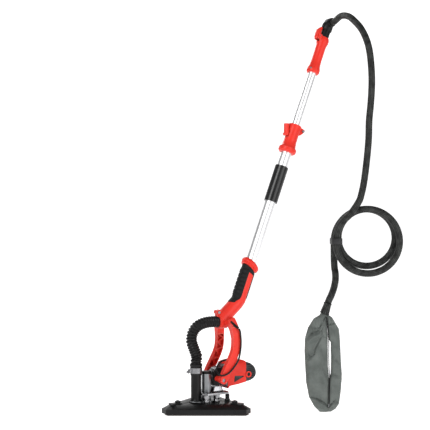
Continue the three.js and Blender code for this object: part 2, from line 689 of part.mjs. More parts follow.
function clampBody() {
  const [bottom, top] = CLAMP;
  const profile = [
    [26, bottom], [30.5, bottom + 5], [30.5, bottom + 15], [24.5, bottom + 22], [22, bottom + 42],
    [21.4, bottom + 70], [22.4, top], [UPPER_TUBE_RADIUS + 0.4, top], [UPPER_TUBE_RADIUS + 0.4, LOWER_TUBE_END + GAP],
    [LOWER_TUBE_RADIUS + GAP, LOWER_TUBE_END + GAP], [LOWER_TUBE_RADIUS + GAP, bottom], [26, bottom],
  ];
  const ear = sidePrism([[18, top - 30], [26, top - 26], [37, top - 10], [37, top - 2], [20, top]], -9, 9);
  const liner = ring(UPPER_TUBE_RADIUS + 0.4, UPPER_TUBE_RADIUS + 2.2, LOWER_TUBE_END + 1, top);
  const leverRoom = join(leverBar(0.9), box([-46, -16.5], [-10.5, 10.5], [LEVER_FOOT[1] - 9, LEVER_FOOT[1] + 16]));
  const body = cut(join(turned(profile, FACES), ear), leverRoom, rod(UPPER_TUBE_RADIUS + 0.4, 570, 700));
  const bolt = alongY(rod(2.8, -20, 20, SMALL_FACES)).translate(31, 0, top - 9);
  return cut(join(body, liner), bolt);
}

function clampBolt() {
  const heads = [[-13, -9.3], [9.3, 12.5]].map((span) => rod(4.6, ...span, SMALL_FACES));
  return alongY(join(rod(2.5, -11, 11, SMALL_FACES), ...heads)).translate(31, 0, CLAMP[1] - 9);
}

function topGrip() {
  const [bottom, top] = TOP_GRIP;
  const profile = [
    [20, bottom], [22.5, bottom + 5], [22.5, bottom + 15], [19, bottom + 27], [17.6, bottom + 47],
    [17.6, top - 31], [21, top - 18], [21.3, top - 8], [19, top],
    [16.4, top], [16.4, top - 28], [UPPER_TUBE_RADIUS + GAP, top - 28],
    [UPPER_TUBE_RADIUS + GAP, bottom], [20, bottom],
  ];
  const latchRoom = box([-45, -10], [-7.6, 7.6], [top - 20, top + 10]);
  const ears = [[-12, -8.2], [8.2, 12]].map((span) => box([-28, -15], span, [top - 14, top + 4]));
  const bore = rod(16.4, top - 28, top + 20);
  const pinHole = alongY(rod(2.3, -20, 20, SMALL_FACES)).translate(-22.5, 0, top - 3);
  return cut(join(cut(turned(profile, FACES), latchRoom), ...ears), bore, pinHole);
}

function hoseLatch() {
  const side = [
    [-17.4, 948], [-26, 944], [-34, 944.5], [-35.5, 955], [-35, 974],
    [-25, 987.5], [-20.4, 984.5], [-21, 970], [-17.4, 960],
  ];
  const plate = sidePrism(side.reverse(), -7, 7);
  return cut(plate, alongY(rod(2.4, -20, 20, SMALL_FACES)).translate(-22.5, 0, TOP_GRIP[1] - 3));
}

function makePole(group) {
  addPiece(group, "grip_overmould", gripOvermould(), RUBBER);
  addPiece(group, "power_switch", powerSwitch(), BLACK);
  addPiece(group, "speed_dial", speedDial(), BLACK);
  addPiece(group, "neck_collar", neckCollar(), RED);
  const lowerInner = LOWER_TUBE_RADIUS - TUBE_WALL;
  addPiece(group, "lower_tube", ring(lowerInner, LOWER_TUBE_RADIUS, TUBE_START, LOWER_TUBE_END, FACES), SILVER);
  const sleeveInner = LOWER_TUBE_RADIUS + GAP;
  addPiece(group, "hand_sleeve", ring(sleeveInner, sleeveInner + 4.4, ...SLEEVE, FACES), BLACK);
  addPiece(group, "clamp_body", clampBody(), RED);
  addPiece(group, "clamp_bolt", clampBolt(), SILVER);
  addPiece(group, "clamp_lever", clampLever(), RED);
  const upperInner = UPPER_TUBE_RADIUS - TUBE_WALL;
  addPiece(group, "upper_tube", ring(upperInner, UPPER_TUBE_RADIUS, UPPER_TUBE_START, UPPER_TUBE_END), SILVER);
  const bushing = ring(UPPER_TUBE_RADIUS + GAP, lowerInner - GAP, UPPER_TUBE_START + 2, UPPER_TUBE_START + 32);
  addPiece(group, "tube_bushing", bushing, BLACK);
  addPiece(group, "top_grip", topGrip(), RED);
  addPiece(group, "hose_latch", hoseLatch(), RED);
  const latchPin = alongY(rod(2, -12.5, 12.5, SMALL_FACES)).translate(-22.5, 0, TOP_GRIP[1] - 3);
  addPiece(group, "latch_pin", latchPin, SILVER);
}

// ---------------------------------------------------------------- swivel and elbow
const ELBOW_OUTLET = [483.5, -26, 1293]; // the face that the long hose leaves

function swivelCollar() {
  const start = TOP_GRIP[1] - 25;
  return onPole(ring(12, 16, start, TOP_GRIP[1] + 27, FACES));
}

function hoseElbow() {
  const start = TOP_GRIP[1] + 27.4;
  const profile = [[0, start], [17.5, start], [19.4, start + 3], [19.4, start + 20], [0, start + 20]];
  const lower = onPole(turned(profile, FACES));
  const turn = new THREE.SphereGeometry(19.4, 20, 12).translate(482.4, 0, 1282);
  const outlet = alongY(rod(15.5, 0, -ELBOW_OUTLET[1])).rotateZ(Math.PI);
  outlet.translate(ELBOW_OUTLET[0], 0, ELBOW_OUTLET[2] - 1);
  const duct = onPole(rod(11, start - 5, start + 22, 20));
  return cut(join(lower, turn, outlet), duct);
}

// ---------------------------------------------------------------- flexible lines in the tool frame
const FLEX_HOSE_ROUTE = [
  [-38, 0, 152.8], [-37.8, 0, 160], [-36, 0, 176], [-44, 0, 197], [-54, 0, 226], [-50, 0, 252],
  [-35, 0, 271], [-11, 0, 281], [15, 0, 284], [40, 0, 283], [56, 0, 283],
];
const CABLE_ROUTE = [
  [83.9, -63.8, 264], [86.8, -65, 257], [89, -65.2, 242], [90.6, -65, 220], [88, -65, 191], [81, -65, 165],
  [64, -65, 142],
  [45, -65, 125.5], [25, -65, 119.5], [16, -60, 121], [12.5, -50, 127], [15, -40, 138], [25, -32, 150],
  [40, -27, 158], [56, -24, 161], [70, -22, 160.5], [78, -21, 159],
];

function makeFlexibleLines(group) {
  addPiece(group, "flex_hose", roundTube(FLEX_HOSE_ROUTE, FLEX_HOSE_RADIUS, 12, 24), BLACK);
  addPiece(group, "motor_cable", roundTube(CABLE_ROUTE, CABLE_RADIUS, 8, 36), BLACK);
}

// ---------------------------------------------------------------- long hose, coil and bag
// Points are across, back and up in the turned plane that the hose hangs in.
const DROP_ROUTE = [
  [432.5, 217.8, 1292], [437.5, 209.1, 1292.3], [444, 196, 1297], [456, 173, 1304], [476, 130, 1293],
  [493, 93, 1267], [506, 62, 1240], [515.5, 38, 1211], [523, 18, 1177], [527.5, 8, 1142],
  [530.3, 2, 1101], [531.5, 0, 1060], [530, 0, 1015],
  [527, 0, 975], [523, 0, 934], [521, 0, 869], [513, -3, 789], [503, -10, 724], [495, -15, 692], [489, -19, 675],
];
const TAIL_ROUTE = [
  [414, 20, 458], [415.5, 12, 443], [415, 1, 427], [412, -10, 411], [407, -20, 395], [400.5, -29, 380],
  [393.5, -36, 366], [388.2, -39.4, 356], [386, -40, 349.5],
];
const CUFF_LINE = [[385.3, -40, 347.6], [375.8, -40, 319]];
const BAG_CENTRE = [371.5, -40];
const BAG_THICKNESS = 44;
const BAG_EDGE = 12;
const BAG_OUTLINE = [
  [-14, 312], [-33, 300], [-48, 271], [-56, 242], [-59, 192], [-57, 150], [-54, 97], [-45, 51], [-29, 22],
  [-10, 4], [14, 4], [40, 14], [50, 30], [55, 68], [59, 113], [55, 171], [52, 229], [49, 267], [29, 304], [10, 312],
];

function coilRing() {
  const d = COIL_HALF_DEPTH;
  const profile = [
    [COIL_OUTER - 6, -d], [COIL_OUTER, -d + 6], [COIL_OUTER, d - 6], [COIL_OUTER - 6, d],
    [COIL_INNER + 6, d], [COIL_INNER, d - 6], [COIL_INNER, -d + 6], [COIL_INNER + 6, -d], [COIL_OUTER - 6, -d],
  ];
  return alongY(turned(profile, 28)).translate(...COIL_CENTRE);
}

// A strap round the coil's bundle on the side nearer the pole.
function hoseTie() {
  const inside = [-COIL_OUTER - 0.7, -COIL_INNER + 1.2];
  const outer = box([inside[0] - 1.6, inside[1] + 1.6], [-COIL_HALF_DEPTH - 2, COIL_HALF_DEPTH + 2], [-10, 10]);
  const inner = box(inside, [-COIL_HALF_DEPTH - 0.4, COIL_HALF_DEPTH + 0.4], [-20, 20]);
  return cut(outer, inner).translate(...COIL_CENTRE);
}

// The bag hangs flat: its outline is drawn across and up, and its edges are rounded.
function dustBag() {
  const depth = BAG_THICKNESS - 2 * BAG_EDGE;
  const options = { depth, bevelThickness: BAG_EDGE, bevelSize: 10, bevelOffset: -10, bevelSegments: 2 };
  const bag = new THREE.ExtrudeGeometry(shapeOf(BAG_OUTLINE), options);
  return bag.rotateX(Math.PI / 2).translate(BAG_CENTRE[0], BAG_CENTRE[1] + depth / 2, 0);
}

function makeLongHose(group) {
  const plane = new THREE.Group();
  plane.rotation.z = radians(HOSE_PLANE_TURN);
  group.add(plane);
  addPiece(plane, "hose_drop", roundTube(DROP_ROUTE, HOSE_RADIUS, 8, 36), GREY);
  addPiece(plane, "hose_coil", coilRing(), GREY);
  addPiece(plane, "hose_tie", hoseTie(), BLACK);
  addPiece(plane, "hose_tail", roundTube(TAIL_ROUTE, HOSE_RADIUS, 8, 8), GREY);
  addPiece(plane, "bag_cuff", taperedBar(...CUFF_LINE, 12.6, 13.6), BLACK);
  addPiece(plane, "dust_bag", dustBag(), GREY);
}

// ---------------------------------------------------------------- assembly
const sander = new THREE.Group();
const tool = new THREE.Group();
const gripPoint = new THREE.Vector3(0, 0, GRIP_MIDDLE).applyMatrix4(toPole);
tool.position.copy(gripPoint).negate();
sander.add(tool);

makePlate(tool);
makePlateFittings(tool);
makeDrive(tool);
makeMotor(tool);
addPiece(tool, "gimbal_block", gimbalBlock(), BLACK);
makeYoke(tool);

const pole = new THREE.Group();
pole.applyMatrix4(toPole);
tool.add(pole);
makePole(pole);

addPiece(tool, "swivel_collar", swivelCollar(), BLACK);
addPiece(tool, "hose_elbow", hoseElbow(), BLACK);
makeFlexibleLines(tool);
makeLongHose(tool);

export default sander;
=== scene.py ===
"""Pole drywall sander: the looks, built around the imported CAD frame. Metres, +Z up."""

import json
import math

import bmesh
import bpy
from mathutils import Matrix, Vector
from mathutils.noise import noise as noise_at

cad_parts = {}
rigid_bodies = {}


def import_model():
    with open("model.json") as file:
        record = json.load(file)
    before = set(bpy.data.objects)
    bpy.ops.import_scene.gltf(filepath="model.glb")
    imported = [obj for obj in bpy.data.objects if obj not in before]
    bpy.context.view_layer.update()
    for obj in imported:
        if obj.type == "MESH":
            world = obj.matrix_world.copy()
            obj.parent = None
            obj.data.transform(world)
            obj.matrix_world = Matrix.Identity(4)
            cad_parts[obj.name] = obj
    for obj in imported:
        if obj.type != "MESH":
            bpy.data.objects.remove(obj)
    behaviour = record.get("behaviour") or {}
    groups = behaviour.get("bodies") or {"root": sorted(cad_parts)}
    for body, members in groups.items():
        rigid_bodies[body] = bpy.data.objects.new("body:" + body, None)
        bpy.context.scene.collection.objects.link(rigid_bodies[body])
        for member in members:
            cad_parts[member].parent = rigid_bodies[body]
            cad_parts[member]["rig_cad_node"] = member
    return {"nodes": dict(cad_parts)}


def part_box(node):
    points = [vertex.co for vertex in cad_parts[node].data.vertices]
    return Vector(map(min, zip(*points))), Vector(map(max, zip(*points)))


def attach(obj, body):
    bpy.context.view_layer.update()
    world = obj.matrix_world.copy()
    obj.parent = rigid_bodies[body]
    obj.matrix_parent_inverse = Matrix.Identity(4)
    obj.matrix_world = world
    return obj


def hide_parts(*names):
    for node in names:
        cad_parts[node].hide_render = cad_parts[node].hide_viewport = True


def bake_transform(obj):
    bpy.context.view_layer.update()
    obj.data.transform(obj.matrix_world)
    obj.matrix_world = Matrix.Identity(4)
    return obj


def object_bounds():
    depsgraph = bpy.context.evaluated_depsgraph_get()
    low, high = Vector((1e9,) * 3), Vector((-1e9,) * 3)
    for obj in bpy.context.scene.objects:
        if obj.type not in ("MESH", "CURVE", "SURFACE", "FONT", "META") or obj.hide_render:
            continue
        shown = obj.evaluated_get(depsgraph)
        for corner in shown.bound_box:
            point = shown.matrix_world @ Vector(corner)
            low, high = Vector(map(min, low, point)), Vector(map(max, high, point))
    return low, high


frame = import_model()
cad_low, cad_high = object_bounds()
nodes = frame["nodes"]

# ---------------------------------------------------------------- places
# Shapes are given in millimetres in one of three frames, which match the CAD source.
MM = 0.001
POLE_LEAN = 21.2  # degrees from vertical
BEND = (120, 0, 347.6)  # where the neck turns into the handle, in the tool frame
HOSE_PLANE_TURN = -30  # degrees about Z

cap_low, cap_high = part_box("spindle_cap")
spindle = (cap_low + cap_high) / 2
face_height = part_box("abrasive_sheet")[0].z

# Tool frame: the drive spindle is x = y = 0 and the sanding face is z = 0.
TOOL = Matrix.Translation((spindle.x, spindle.y, face_height)) @ Matrix.Scale(MM, 4)
# Pole frame: z runs up the pole from the bend.
POLE = TOOL @ Matrix.Translation(BEND) @ Matrix.Rotation(math.radians(POLE_LEAN), 4, "Y")
# Hose frame: across, back and up in the turned plane that the long hose hangs in.
HOSE_PLANE = TOOL @ Matrix.Rotation(math.radians(HOSE_PLANE_TURN), 4, "Z")


# ---------------------------------------------------------------- camera
CAMERA_HEIGHT = 628  # above the sanding face
CAMERA_DISTANCE = 3030  # from the spindle axis
CAMERA_ASIDE = 27.6  # the spindle stands this far left of the line of sight
CAMERA_LENS = 78.95


def make_camera():
    data = bpy.data.cameras.new("camera")
    data.lens = CAMERA_LENS
    data.sensor_width = 36
    camera = bpy.data.objects.new("camera", data)
    bpy.context.scene.collection.objects.link(camera)
    camera.location = HOSE_PLANE @ Vector((CAMERA_ASIDE, -CAMERA_DISTANCE, CAMERA_HEIGHT))
    camera.rotation_euler = (math.radians(90), 0, math.radians(HOSE_PLANE_TURN))
    bpy.context.scene.camera = camera


make_camera()


# ---------------------------------------------------------------- lines and tubes
def on_curve(before, start, end, after, share):
    """A point between start and end on the centripetal Catmull-Rom curve through four points."""
    t1 = (start - before).length ** 0.5
    t2 = t1 + (end - start).length ** 0.5
    t3 = t2 + (after - end).length ** 0.5
    t = t1 + share * (t2 - t1)
    first = before.lerp(start, t / t1)
    middle = start.lerp(end, (t - t1) / (t2 - t1))
    last = end.lerp(after, (t - t2) / (t3 - t2))
    return first.lerp(middle, t / t2).lerp(middle.lerp(last, (t - t1) / (t3 - t1)), (t - t1) / (t2 - t1))


def smooth_line(points, step):
    """Points about one step apart on a smooth curve through the given ones."""
    points = [Vector(p) for p in points]
    padded = [2 * points[0] - points[1], *points, 2 * points[-1] - points[-2]]
    line = []
    for i in range(1, len(padded) - 2):
        count = max(1, round((padded[i + 1] - padded[i]).length / step))
        line += [on_curve(*padded[i - 1:i + 3], k / count) for k in range(count)]
    return line + [points[-1]]


def lengths_along(line):
    """The distance along the line at each of its points."""
    total = [0.0]
    for a, b in zip(line, line[1:]):
        total.append(total[-1] + (b - a).length)
    return total


def directions_along(line):
    """For each point: the line's direction and two side directions that don't twist."""
    found = []
    side = None
    for i in range(len(line)):
        ahead = (line[min(i + 1, len(line) - 1)] - line[max(i - 1, 0)]).normalized()
        if side is None:
            side = ahead.orthogonal()
        side = (side - ahead * side.dot(ahead)).normalized()
        found.append((ahead, side, ahead.cross(side)))
    return found


def link(name, mesh):
    """A new object in the scene for a mesh."""
    piece = bpy.data.objects.new(name, mesh)
    bpy.context.scene.collection.objects.link(piece)
    return piece


def piece_from(name, bm, place, smooth=True):
    """A bmesh built in millimetres becomes a piece, moved to its place in the frame."""
    bmesh.ops.recalc_face_normals(bm, faces=bm.faces)
    mesh = bpy.data.meshes.new(name)
    bm.to_mesh(mesh)
    bm.free()
    mesh.transform(place)
    for polygon in mesh.polygons:
        polygon.use_smooth = smooth
    return link(name, mesh)


def sweep(name, line, radius_at, sides, place, flat=1.0):
    """A closed tube along a line. Its radius is radius_at(distance along, angle round).

    Its UV map holds the turn round the tube, 0 to 1, and the distance along it in millimetres.
    """
    bm = bmesh.new()
    uv = bm.loops.layers.uv.new("UVMap")
    along = lengths_along(line)
    rings = []
    for point, (ahead, side, other), distance in zip(line, directions_along(line), along):
        ring = []
        for k in range(sides):
            angle = 2 * math.pi * k / sides
            radius = radius_at(distance, angle)
            offset = side * (math.cos(angle) * radius) + other * (math.sin(angle) * radius * flat)
            ring.append(bm.verts.new(point + offset))
        rings.append(ring)
    for i in range(len(rings) - 1):
        for k in range(sides):
            after = (k + 1) % sides
            face = bm.faces.new((rings[i][k], rings[i][after], rings[i + 1][after], rings[i + 1][k]))
            corners = [(k, along[i]), (k + 1, along[i]), (k + 1, along[i + 1]), (k, along[i + 1])]
            for loop, (turn, distance) in zip(face.loops, corners):
                loop[uv].uv = (turn / sides, distance)
    bm.faces.new(rings[0][::-1])
    bm.faces.new(rings[-1])
    return piece_from(name, bm, place)


def turned(name, profile, sides, place):
    """A closed ring or solid of [radius, height] points turned about Z."""
    bm = bmesh.new()
    rings = []
    for radius, height in profile:
        ring = []
        for k in range(sides if radius > 0 else 1):
            angle = 2 * math.pi * k / sides
            ring.append(bm.verts.new((radius * math.cos(angle), radius * math.sin(angle), height)))
        rings.append(ring)
    for low, high in zip(rings, rings[1:]):
        for k in range(sides):
            after = (k + 1) % sides
            corners = [low[k % len(low)], low[after % len(low)], high[after % len(high)], high[k % len(high)]]
            bm.faces.new(list(dict.fromkeys(corners)))
    return piece_from(name, bm, place)


# ---------------------------------------------------------------- the long hose and its route
HOSE_RADIUS = 11
COIL_CENTRE = (516, 0, 544)
COIL_RADIUS = 103
COIL_TUCK = 23  # how far the second turn's bottom is drawn in
COIL_DEPTH = 25  # the turns lie from this far in front of the middle to as far behind it
COIL_START = 125  # degrees from +across towards +up
COIL_END = 900
TUCK_AT = 630
COIL_STEP = 15
DROP_ROUTE = [
    (432.5, 217.8, 1292), (437.5, 209.1, 1292.3), (444, 196, 1297), (456, 173, 1304), (476, 130, 1293),
    (493, 93, 1267), (506, 62, 1240), (515.5, 38, 1211), (523, 18, 1177), (527.5, 8, 1142),
    (530.3, 2, 1101), (531.5, 0, 1060), (530, 0, 1015), (527, 0, 975),
    (523, 0, 934), (521, 0, 869), (513, -3, 789), (503, -10, 724), (495, -15, 692), (489, -19, 675),
]
TAIL_ROUTE = [
    (413, 25, 500), (414, 20, 458), (415.5, 12, 443), (415, 1, 427), (412, -10, 411), (407, -20, 395),
    (400.5, -29, 380), (393.5, -36, 366), (388.2, -39.4, 356), (386, -40, 349.5),
]


def coil_points():
    """Two and a bit turns side by side in depth. The second is drawn in at the bottom."""
    points = []
    for degrees in range(COIL_START, COIL_END + 1, COIL_STEP):
        tuck = 0
        if abs(degrees - TUCK_AT) < 180:
            tuck = COIL_TUCK * math.cos(math.radians(degrees - TUCK_AT) / 2) ** 2
        radius = COIL_RADIUS - tuck
        share = (degrees - COIL_START) / (COIL_END - COIL_START)
        angle = math.radians(degrees)
        across = COIL_CENTRE[0] + radius * math.cos(angle)
        up = COIL_CENTRE[2] + radius * math.sin(angle)
        points.append((across, COIL_DEPTH * (2 * share - 1), up))
    return points


def make_long_hose():
    line = smooth_line([*DROP_ROUTE, *coil_points(), *TAIL_ROUTE], 5)
    hose = sweep("long_hose", line, lambda distance, angle: HOSE_RADIUS, 20, HOSE_PLANE)
    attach(hose, "hose_swivel")
    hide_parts("hose_drop", "hose_coil", "hose_tail")
    length = lengths_along(line)[-1] * MM
    path = [HOSE_PLANE @ point for point in line]
    return hose, path, length


long_hose, hose_path, hose_length = make_long_hose()


# ---------------------------------------------------------------- shader nodes
def new_material(name, colour, roughness, metallic=0.0):
    """A material whose shader starts from even values. Returns the node tree and the shader."""
    material = bpy.data.materials.new(name)
    material.use_nodes = True
    tree = material.node_tree
    shader = tree.nodes["Principled BSDF"]
    shader.inputs["Base Color"].default_value = (*colour, 1)
    shader.inputs["Roughness"].default_value = roughness
    shader.inputs["Metallic"].default_value = metallic
    shader.inputs["Specular IOR Level"].default_value = 0.22
    return material, tree, shader


def feed(tree, node, name, value):
    """Sets a node's input to a number or colour, or links another node's output to it."""
    if isinstance(value, bpy.types.NodeSocket):
        tree.links.new(value, node.inputs[name])
    else:
        node.inputs[name].default_value = value


def position(tree, stretch=(1, 1, 1), turn=(0, 0, 0)):
    """The point on the piece, in metres, for a pattern that is stretched and then turned."""
    mapping = tree.nodes.new("ShaderNodeMapping")
    mapping.vector_type = "TEXTURE"
    mapping.inputs["Scale"].default_value = stretch
    mapping.inputs["Rotation"].default_value = [math.radians(angle) for angle in turn]
    feed(tree, mapping, "Vector", tree.nodes.new("ShaderNodeTexCoord").outputs["Object"])
    return mapping.outputs["Vector"]


def noise(tree, scale, detail=3.0, at=None):
    made = tree.nodes.new("ShaderNodeTexNoise")
    feed(tree, made, "Vector", position(tree) if at is None else at)
    made.inputs["Scale"].default_value = scale
    made.inputs["Detail"].default_value = detail
    return made.outputs["Fac"]


def cells(tree, scale, at=None):
    made = tree.nodes.new("ShaderNodeTexVoronoi")
    feed(tree, made, "Vector", position(tree) if at is None else at)
    made.inputs["Scale"].default_value = scale
    return made.outputs["Distance"]


def calculate(tree, operation, first, second=0.0, third=0.0):
    made = tree.nodes.new("ShaderNodeMath")
    made.operation = operation
    feed(tree, made, 0, first)
    feed(tree, made, 1, second)
    feed(tree, made, 2, third)
    return made.outputs[0]


def colours(tree, value, low, high, start=0.3, end=0.7):
    """A colour that goes from low to high as value goes from start to end."""
    ramp = tree.nodes.new("ShaderNodeValToRGB")
    feed(tree, ramp, "Fac", value)
    ramp.color_ramp.elements[0].position = start
    ramp.color_ramp.elements[1].position = end
    ramp.color_ramp.elements[0].color = (*low, 1)
    ramp.color_ramp.elements[1].color = (*high, 1)
    return ramp.outputs["Color"]


def between(tree, value, low, high):
    """A number that goes from low to high as value goes from 0.3 to 0.7."""
    made = tree.nodes.new("ShaderNodeMapRange")
    feed(tree, made, "Value", value)
    made.inputs["From Min"].default_value = 0.3
    made.inputs["From Max"].default_value = 0.7
    made.inputs["To Min"].default_value = low
    made.inputs["To Max"].default_value = high
    return made.outputs["Result"]


def mixed(tree, share, first, second):
    made = tree.nodes.new("ShaderNodeMix")
    made.data_type = "RGBA"
    feed(tree, made, 0, share)
    feed(tree, made, 6, first)
    feed(tree, made, 7, second)
    return made.outputs[2]


def emboss(tree, shader, height, depth, strength=1.0):
    """Raises the surface by height, from 0 to 1, times depth in metres."""
    bump = tree.nodes.new("ShaderNodeBump")
    bump.inputs["Strength"].default_value = strength
    bump.inputs["Distance"].default_value = depth
    feed(tree, bump, "Height", height)
    feed(tree, shader, "Normal", bump.outputs["Normal"])


def worn_edges(tree, reach):
    """1 on sharp edges and 0 on flat faces, broken up by noise."""
    bevel = tree.nodes.new("ShaderNodeBevel")
    bevel.samples = 4
    bevel.inputs["Radius"].default_value = reach
    geometry = tree.nodes.new("ShaderNodeNewGeometry")
    facing = tree.nodes.new("ShaderNodeVectorMath")
    facing.operation = "DOT_PRODUCT"
    feed(tree, facing, 0, bevel.outputs["Normal"])
    feed(tree, facing, 1, geometry.outputs["Normal"])
    sharp = calculate(tree, "SUBTRACT", 1.0, facing.outputs["Value"])
    broken = calculate(tree, "MULTIPLY", sharp, between(tree, noise(tree, 240), 0.5, 5.0))
    return calculate(tree, "MINIMUM", broken, 1.0)


# ---------------------------------------------------------------- materials
def moulded_plastic(name, colour, worn, roughness, grain=0.00005):
    """Moulded plastic: a fine spark-eroded grain, faint handling marks, and pale rubbed edges."""
    material, tree, shader = new_material(name, colour, roughness)
    shade = tuple(0.86 * c for c in colour)
    body = colours(tree, noise(tree, 14, 5), shade, colour)
    rubbed = calculate(tree, "MULTIPLY", worn_edges(tree, 0.0016), 0.55)
    feed(tree, shader, "Base Color", mixed(tree, rubbed, body, (*worn, 1)))
    feed(tree, shader, "Roughness", between(tree, noise(tree, 55, 6), roughness - 0.06, roughness + 0.08))
    emboss(tree, shader, cells(tree, 1100), grain, 0.6)
    return material


def soft_rubber(name, colour, roughness=0.62):
    """Moulded rubber: pebbled, with dust caught in the hollows."""
    material, tree, shader = new_material(name, colour, roughness)
    dusty = tuple(c + 0.007 for c in colour)
    feed(tree, shader, "Base Color", colours(tree, noise(tree, 38, 7), colour, dusty, 0.35, 0.8))
    feed(tree, shader, "Roughness", between(tree, noise(tree, 90), roughness - 0.08, roughness + 0.08))
    emboss(tree, shader, cells(tree, 700), 0.00012, 0.7)
    return material


def gloss_plastic(name, colour):
    """Polished plastic with hair scratches round the tube."""
    material, tree, shader = new_material(name, colour, 0.24)
    shader.inputs["Coat Weight"].default_value = 0.25
    shader.inputs["Coat Roughness"].default_value = 0.06
    scratches = noise(tree, 60, 4, position(tree, (1, 1, 0.07), (0, POLE_LEAN, 0)))
    feed(tree, shader, "Roughness", between(tree, scratches, 0.2, 0.36))
    hazy = tuple(c + 0.012 for c in colour)
    feed(tree, shader, "Base Color", colours(tree, noise(tree, 30, 6), colour, hazy))
    return material


def drawn_metal(name, colour, roughness, streak):
    """Polished tube: long faint die lines along the pole and a few handling smudges."""
    material, tree, shader = new_material(name, colour, roughness, 1.0)
    lines = noise(tree, 260, 2, position(tree, (1, 1, 90), (0, POLE_LEAN, 0)))
    smudges = noise(tree, 9, 6)
    shine = calculate(tree, "ADD", between(tree, lines, roughness - 0.04, roughness + 0.05),
                      between(tree, smudges, 0, 0.07))
    feed(tree, shader, "Roughness", shine)
    feed(tree, shader, "Base Color", colours(tree, lines, tuple(streak * c for c in colour), colour))
    return material


def cast_metal(name, colour, roughness, grain, depth):
    """Cast or plated metal: an orange-peel skin, darker in patches."""
    material, tree, shader = new_material(name, colour, roughness, 1.0)
    patches = noise(tree, 24, 6)
    dark = tuple(0.78 * c for c in colour)
    feed(tree, shader, "Base Color", colours(tree, patches, dark, colour, 0.25, 0.65))
    feed(tree, shader, "Roughness", between(tree, noise(tree, 120, 5), roughness - 0.05, roughness + 0.08))
    emboss(tree, shader, noise(tree, grain, 4), depth, 0.6)
    return material


def wound_copper(name):
    """Enamelled wire packed in turns."""
    material, tree, shader = new_material(name, (0.55, 0.2, 0.08), 0.3, 1.0)
    wave = tree.nodes.new("ShaderNodeTexWave")
    feed(tree, wave, "Vector", position(tree))
    wave.bands_direction = "X"
    wave.inputs["Scale"].default_value = 400
    turns = wave.outputs["Fac"]
    # The base colour is darker in the grooves between the turns and paler on their tops: painted shade.
    feed(tree, shader, "Base Color", colours(tree, turns, (0.16, 0.05, 0.02), (0.6, 0.24, 0.1), 0.1, 0.6))
    emboss(tree, shader, turns, 0.0003)
    return material


BRAID_STRANDS = 14  # round the hose in each direction
BRAID_PITCH = 5.2  # millimetres along the hose between strands


def braided_sleeve(name):
    """Two sets of flat strands that spiral in opposite directions and pass over each other."""
    material, tree, shader = new_material(name, (0.03, 0.032, 0.032), 0.5)
    split = tree.nodes.new("ShaderNodeSeparateXYZ")
    feed(tree, split, "Vector", tree.nodes.new("ShaderNodeTexCoord").outputs["UV"])
    turn = calculate(tree, "MULTIPLY", split.outputs["X"], BRAID_STRANDS)
    along = calculate(tree, "DIVIDE", split.outputs["Y"], BRAID_PITCH)
    strands = []
    for operation in ("ADD", "SUBTRACT"):
        phase = calculate(tree, operation, along, turn)
        wave = calculate(tree, "SINE", calculate(tree, "MULTIPLY", phase, math.pi))
        strands.append(calculate(tree, "ABSOLUTE", wave))
    over = calculate(tree, "SINE", calculate(tree, "MULTIPLY", along, 2 * math.pi))
    first_on_top = calculate(tree, "GREATER_THAN", over, 0.0)
    under = calculate(tree, "MULTIPLY", calculate(tree, "SUBTRACT", 1.0, first_on_top), strands[1])
    height = calculate(tree, "MULTIPLY_ADD", strands[0], first_on_top, under)
    # The colour follows the strands' height: darker in the hollows between strands and paler on their tops,
    # which is painted shade; the noise varies the strands' tone at random.
    worn = calculate(tree, "MULTIPLY", height, between(tree, noise(tree, 60, 5), 0.55, 1.25))
    hollow_shade, strand = (0.004, 0.0042, 0.004), (0.05, 0.053, 0.05)
    feed(tree, shader, "Base Color", colours(tree, worn, hollow_shade, strand, 0.55, 1.0))
    emboss(tree, shader, height, 0.0007, 0.9)
    return material


def woven_cloth(name, dark, light, threads=900):
    """Coated polyester: a plain weave with a dull sheen, paler where dust has settled."""
    material, tree, shader = new_material(name, dark, 0.78)
    flat = position(tree, turn=(0, 0, HOSE_PLANE_TURN))
    split = tree.nodes.new("ShaderNodeSeparateXYZ")
    feed(tree, split, "Vector", flat)
    warp = calculate(tree, "SINE", calculate(tree, "MULTIPLY", split.outputs["X"], 2 * math.pi * threads))
    weft = calculate(tree, "SINE", calculate(tree, "MULTIPLY", split.outputs["Z"], 2 * math.pi * threads))
    weave = calculate(tree, "MULTIPLY_ADD", calculate(tree, "MULTIPLY", warp, weft), 0.5, 0.5)
    mottle = calculate(tree, "MULTIPLY_ADD", weave, 0.16, noise(tree, 26, 8, flat))
    feed(tree, shader, "Base Color", colours(tree, mottle, dark, light, 0.3, 0.85))
    feed(tree, shader, "Roughness", between(tree, noise(tree, 70), 0.68, 0.86))
    shader.inputs["Sheen Weight"].default_value = 0.08
    emboss(tree, shader, weave, 0.0002, 0.6)
    return material


def grit(name, colour, scale, depth):
    """Abrasive grains or open foam."""
    material, tree, shader = new_material(name, colour, 0.92)
    grains = cells(tree, scale)
    dark = tuple(0.45 * c for c in colour)
    feed(tree, shader, "Base Color", colours(tree, grains, dark, colour, 0.05, 0.6))
    emboss(tree, shader, grains, depth)
    return material


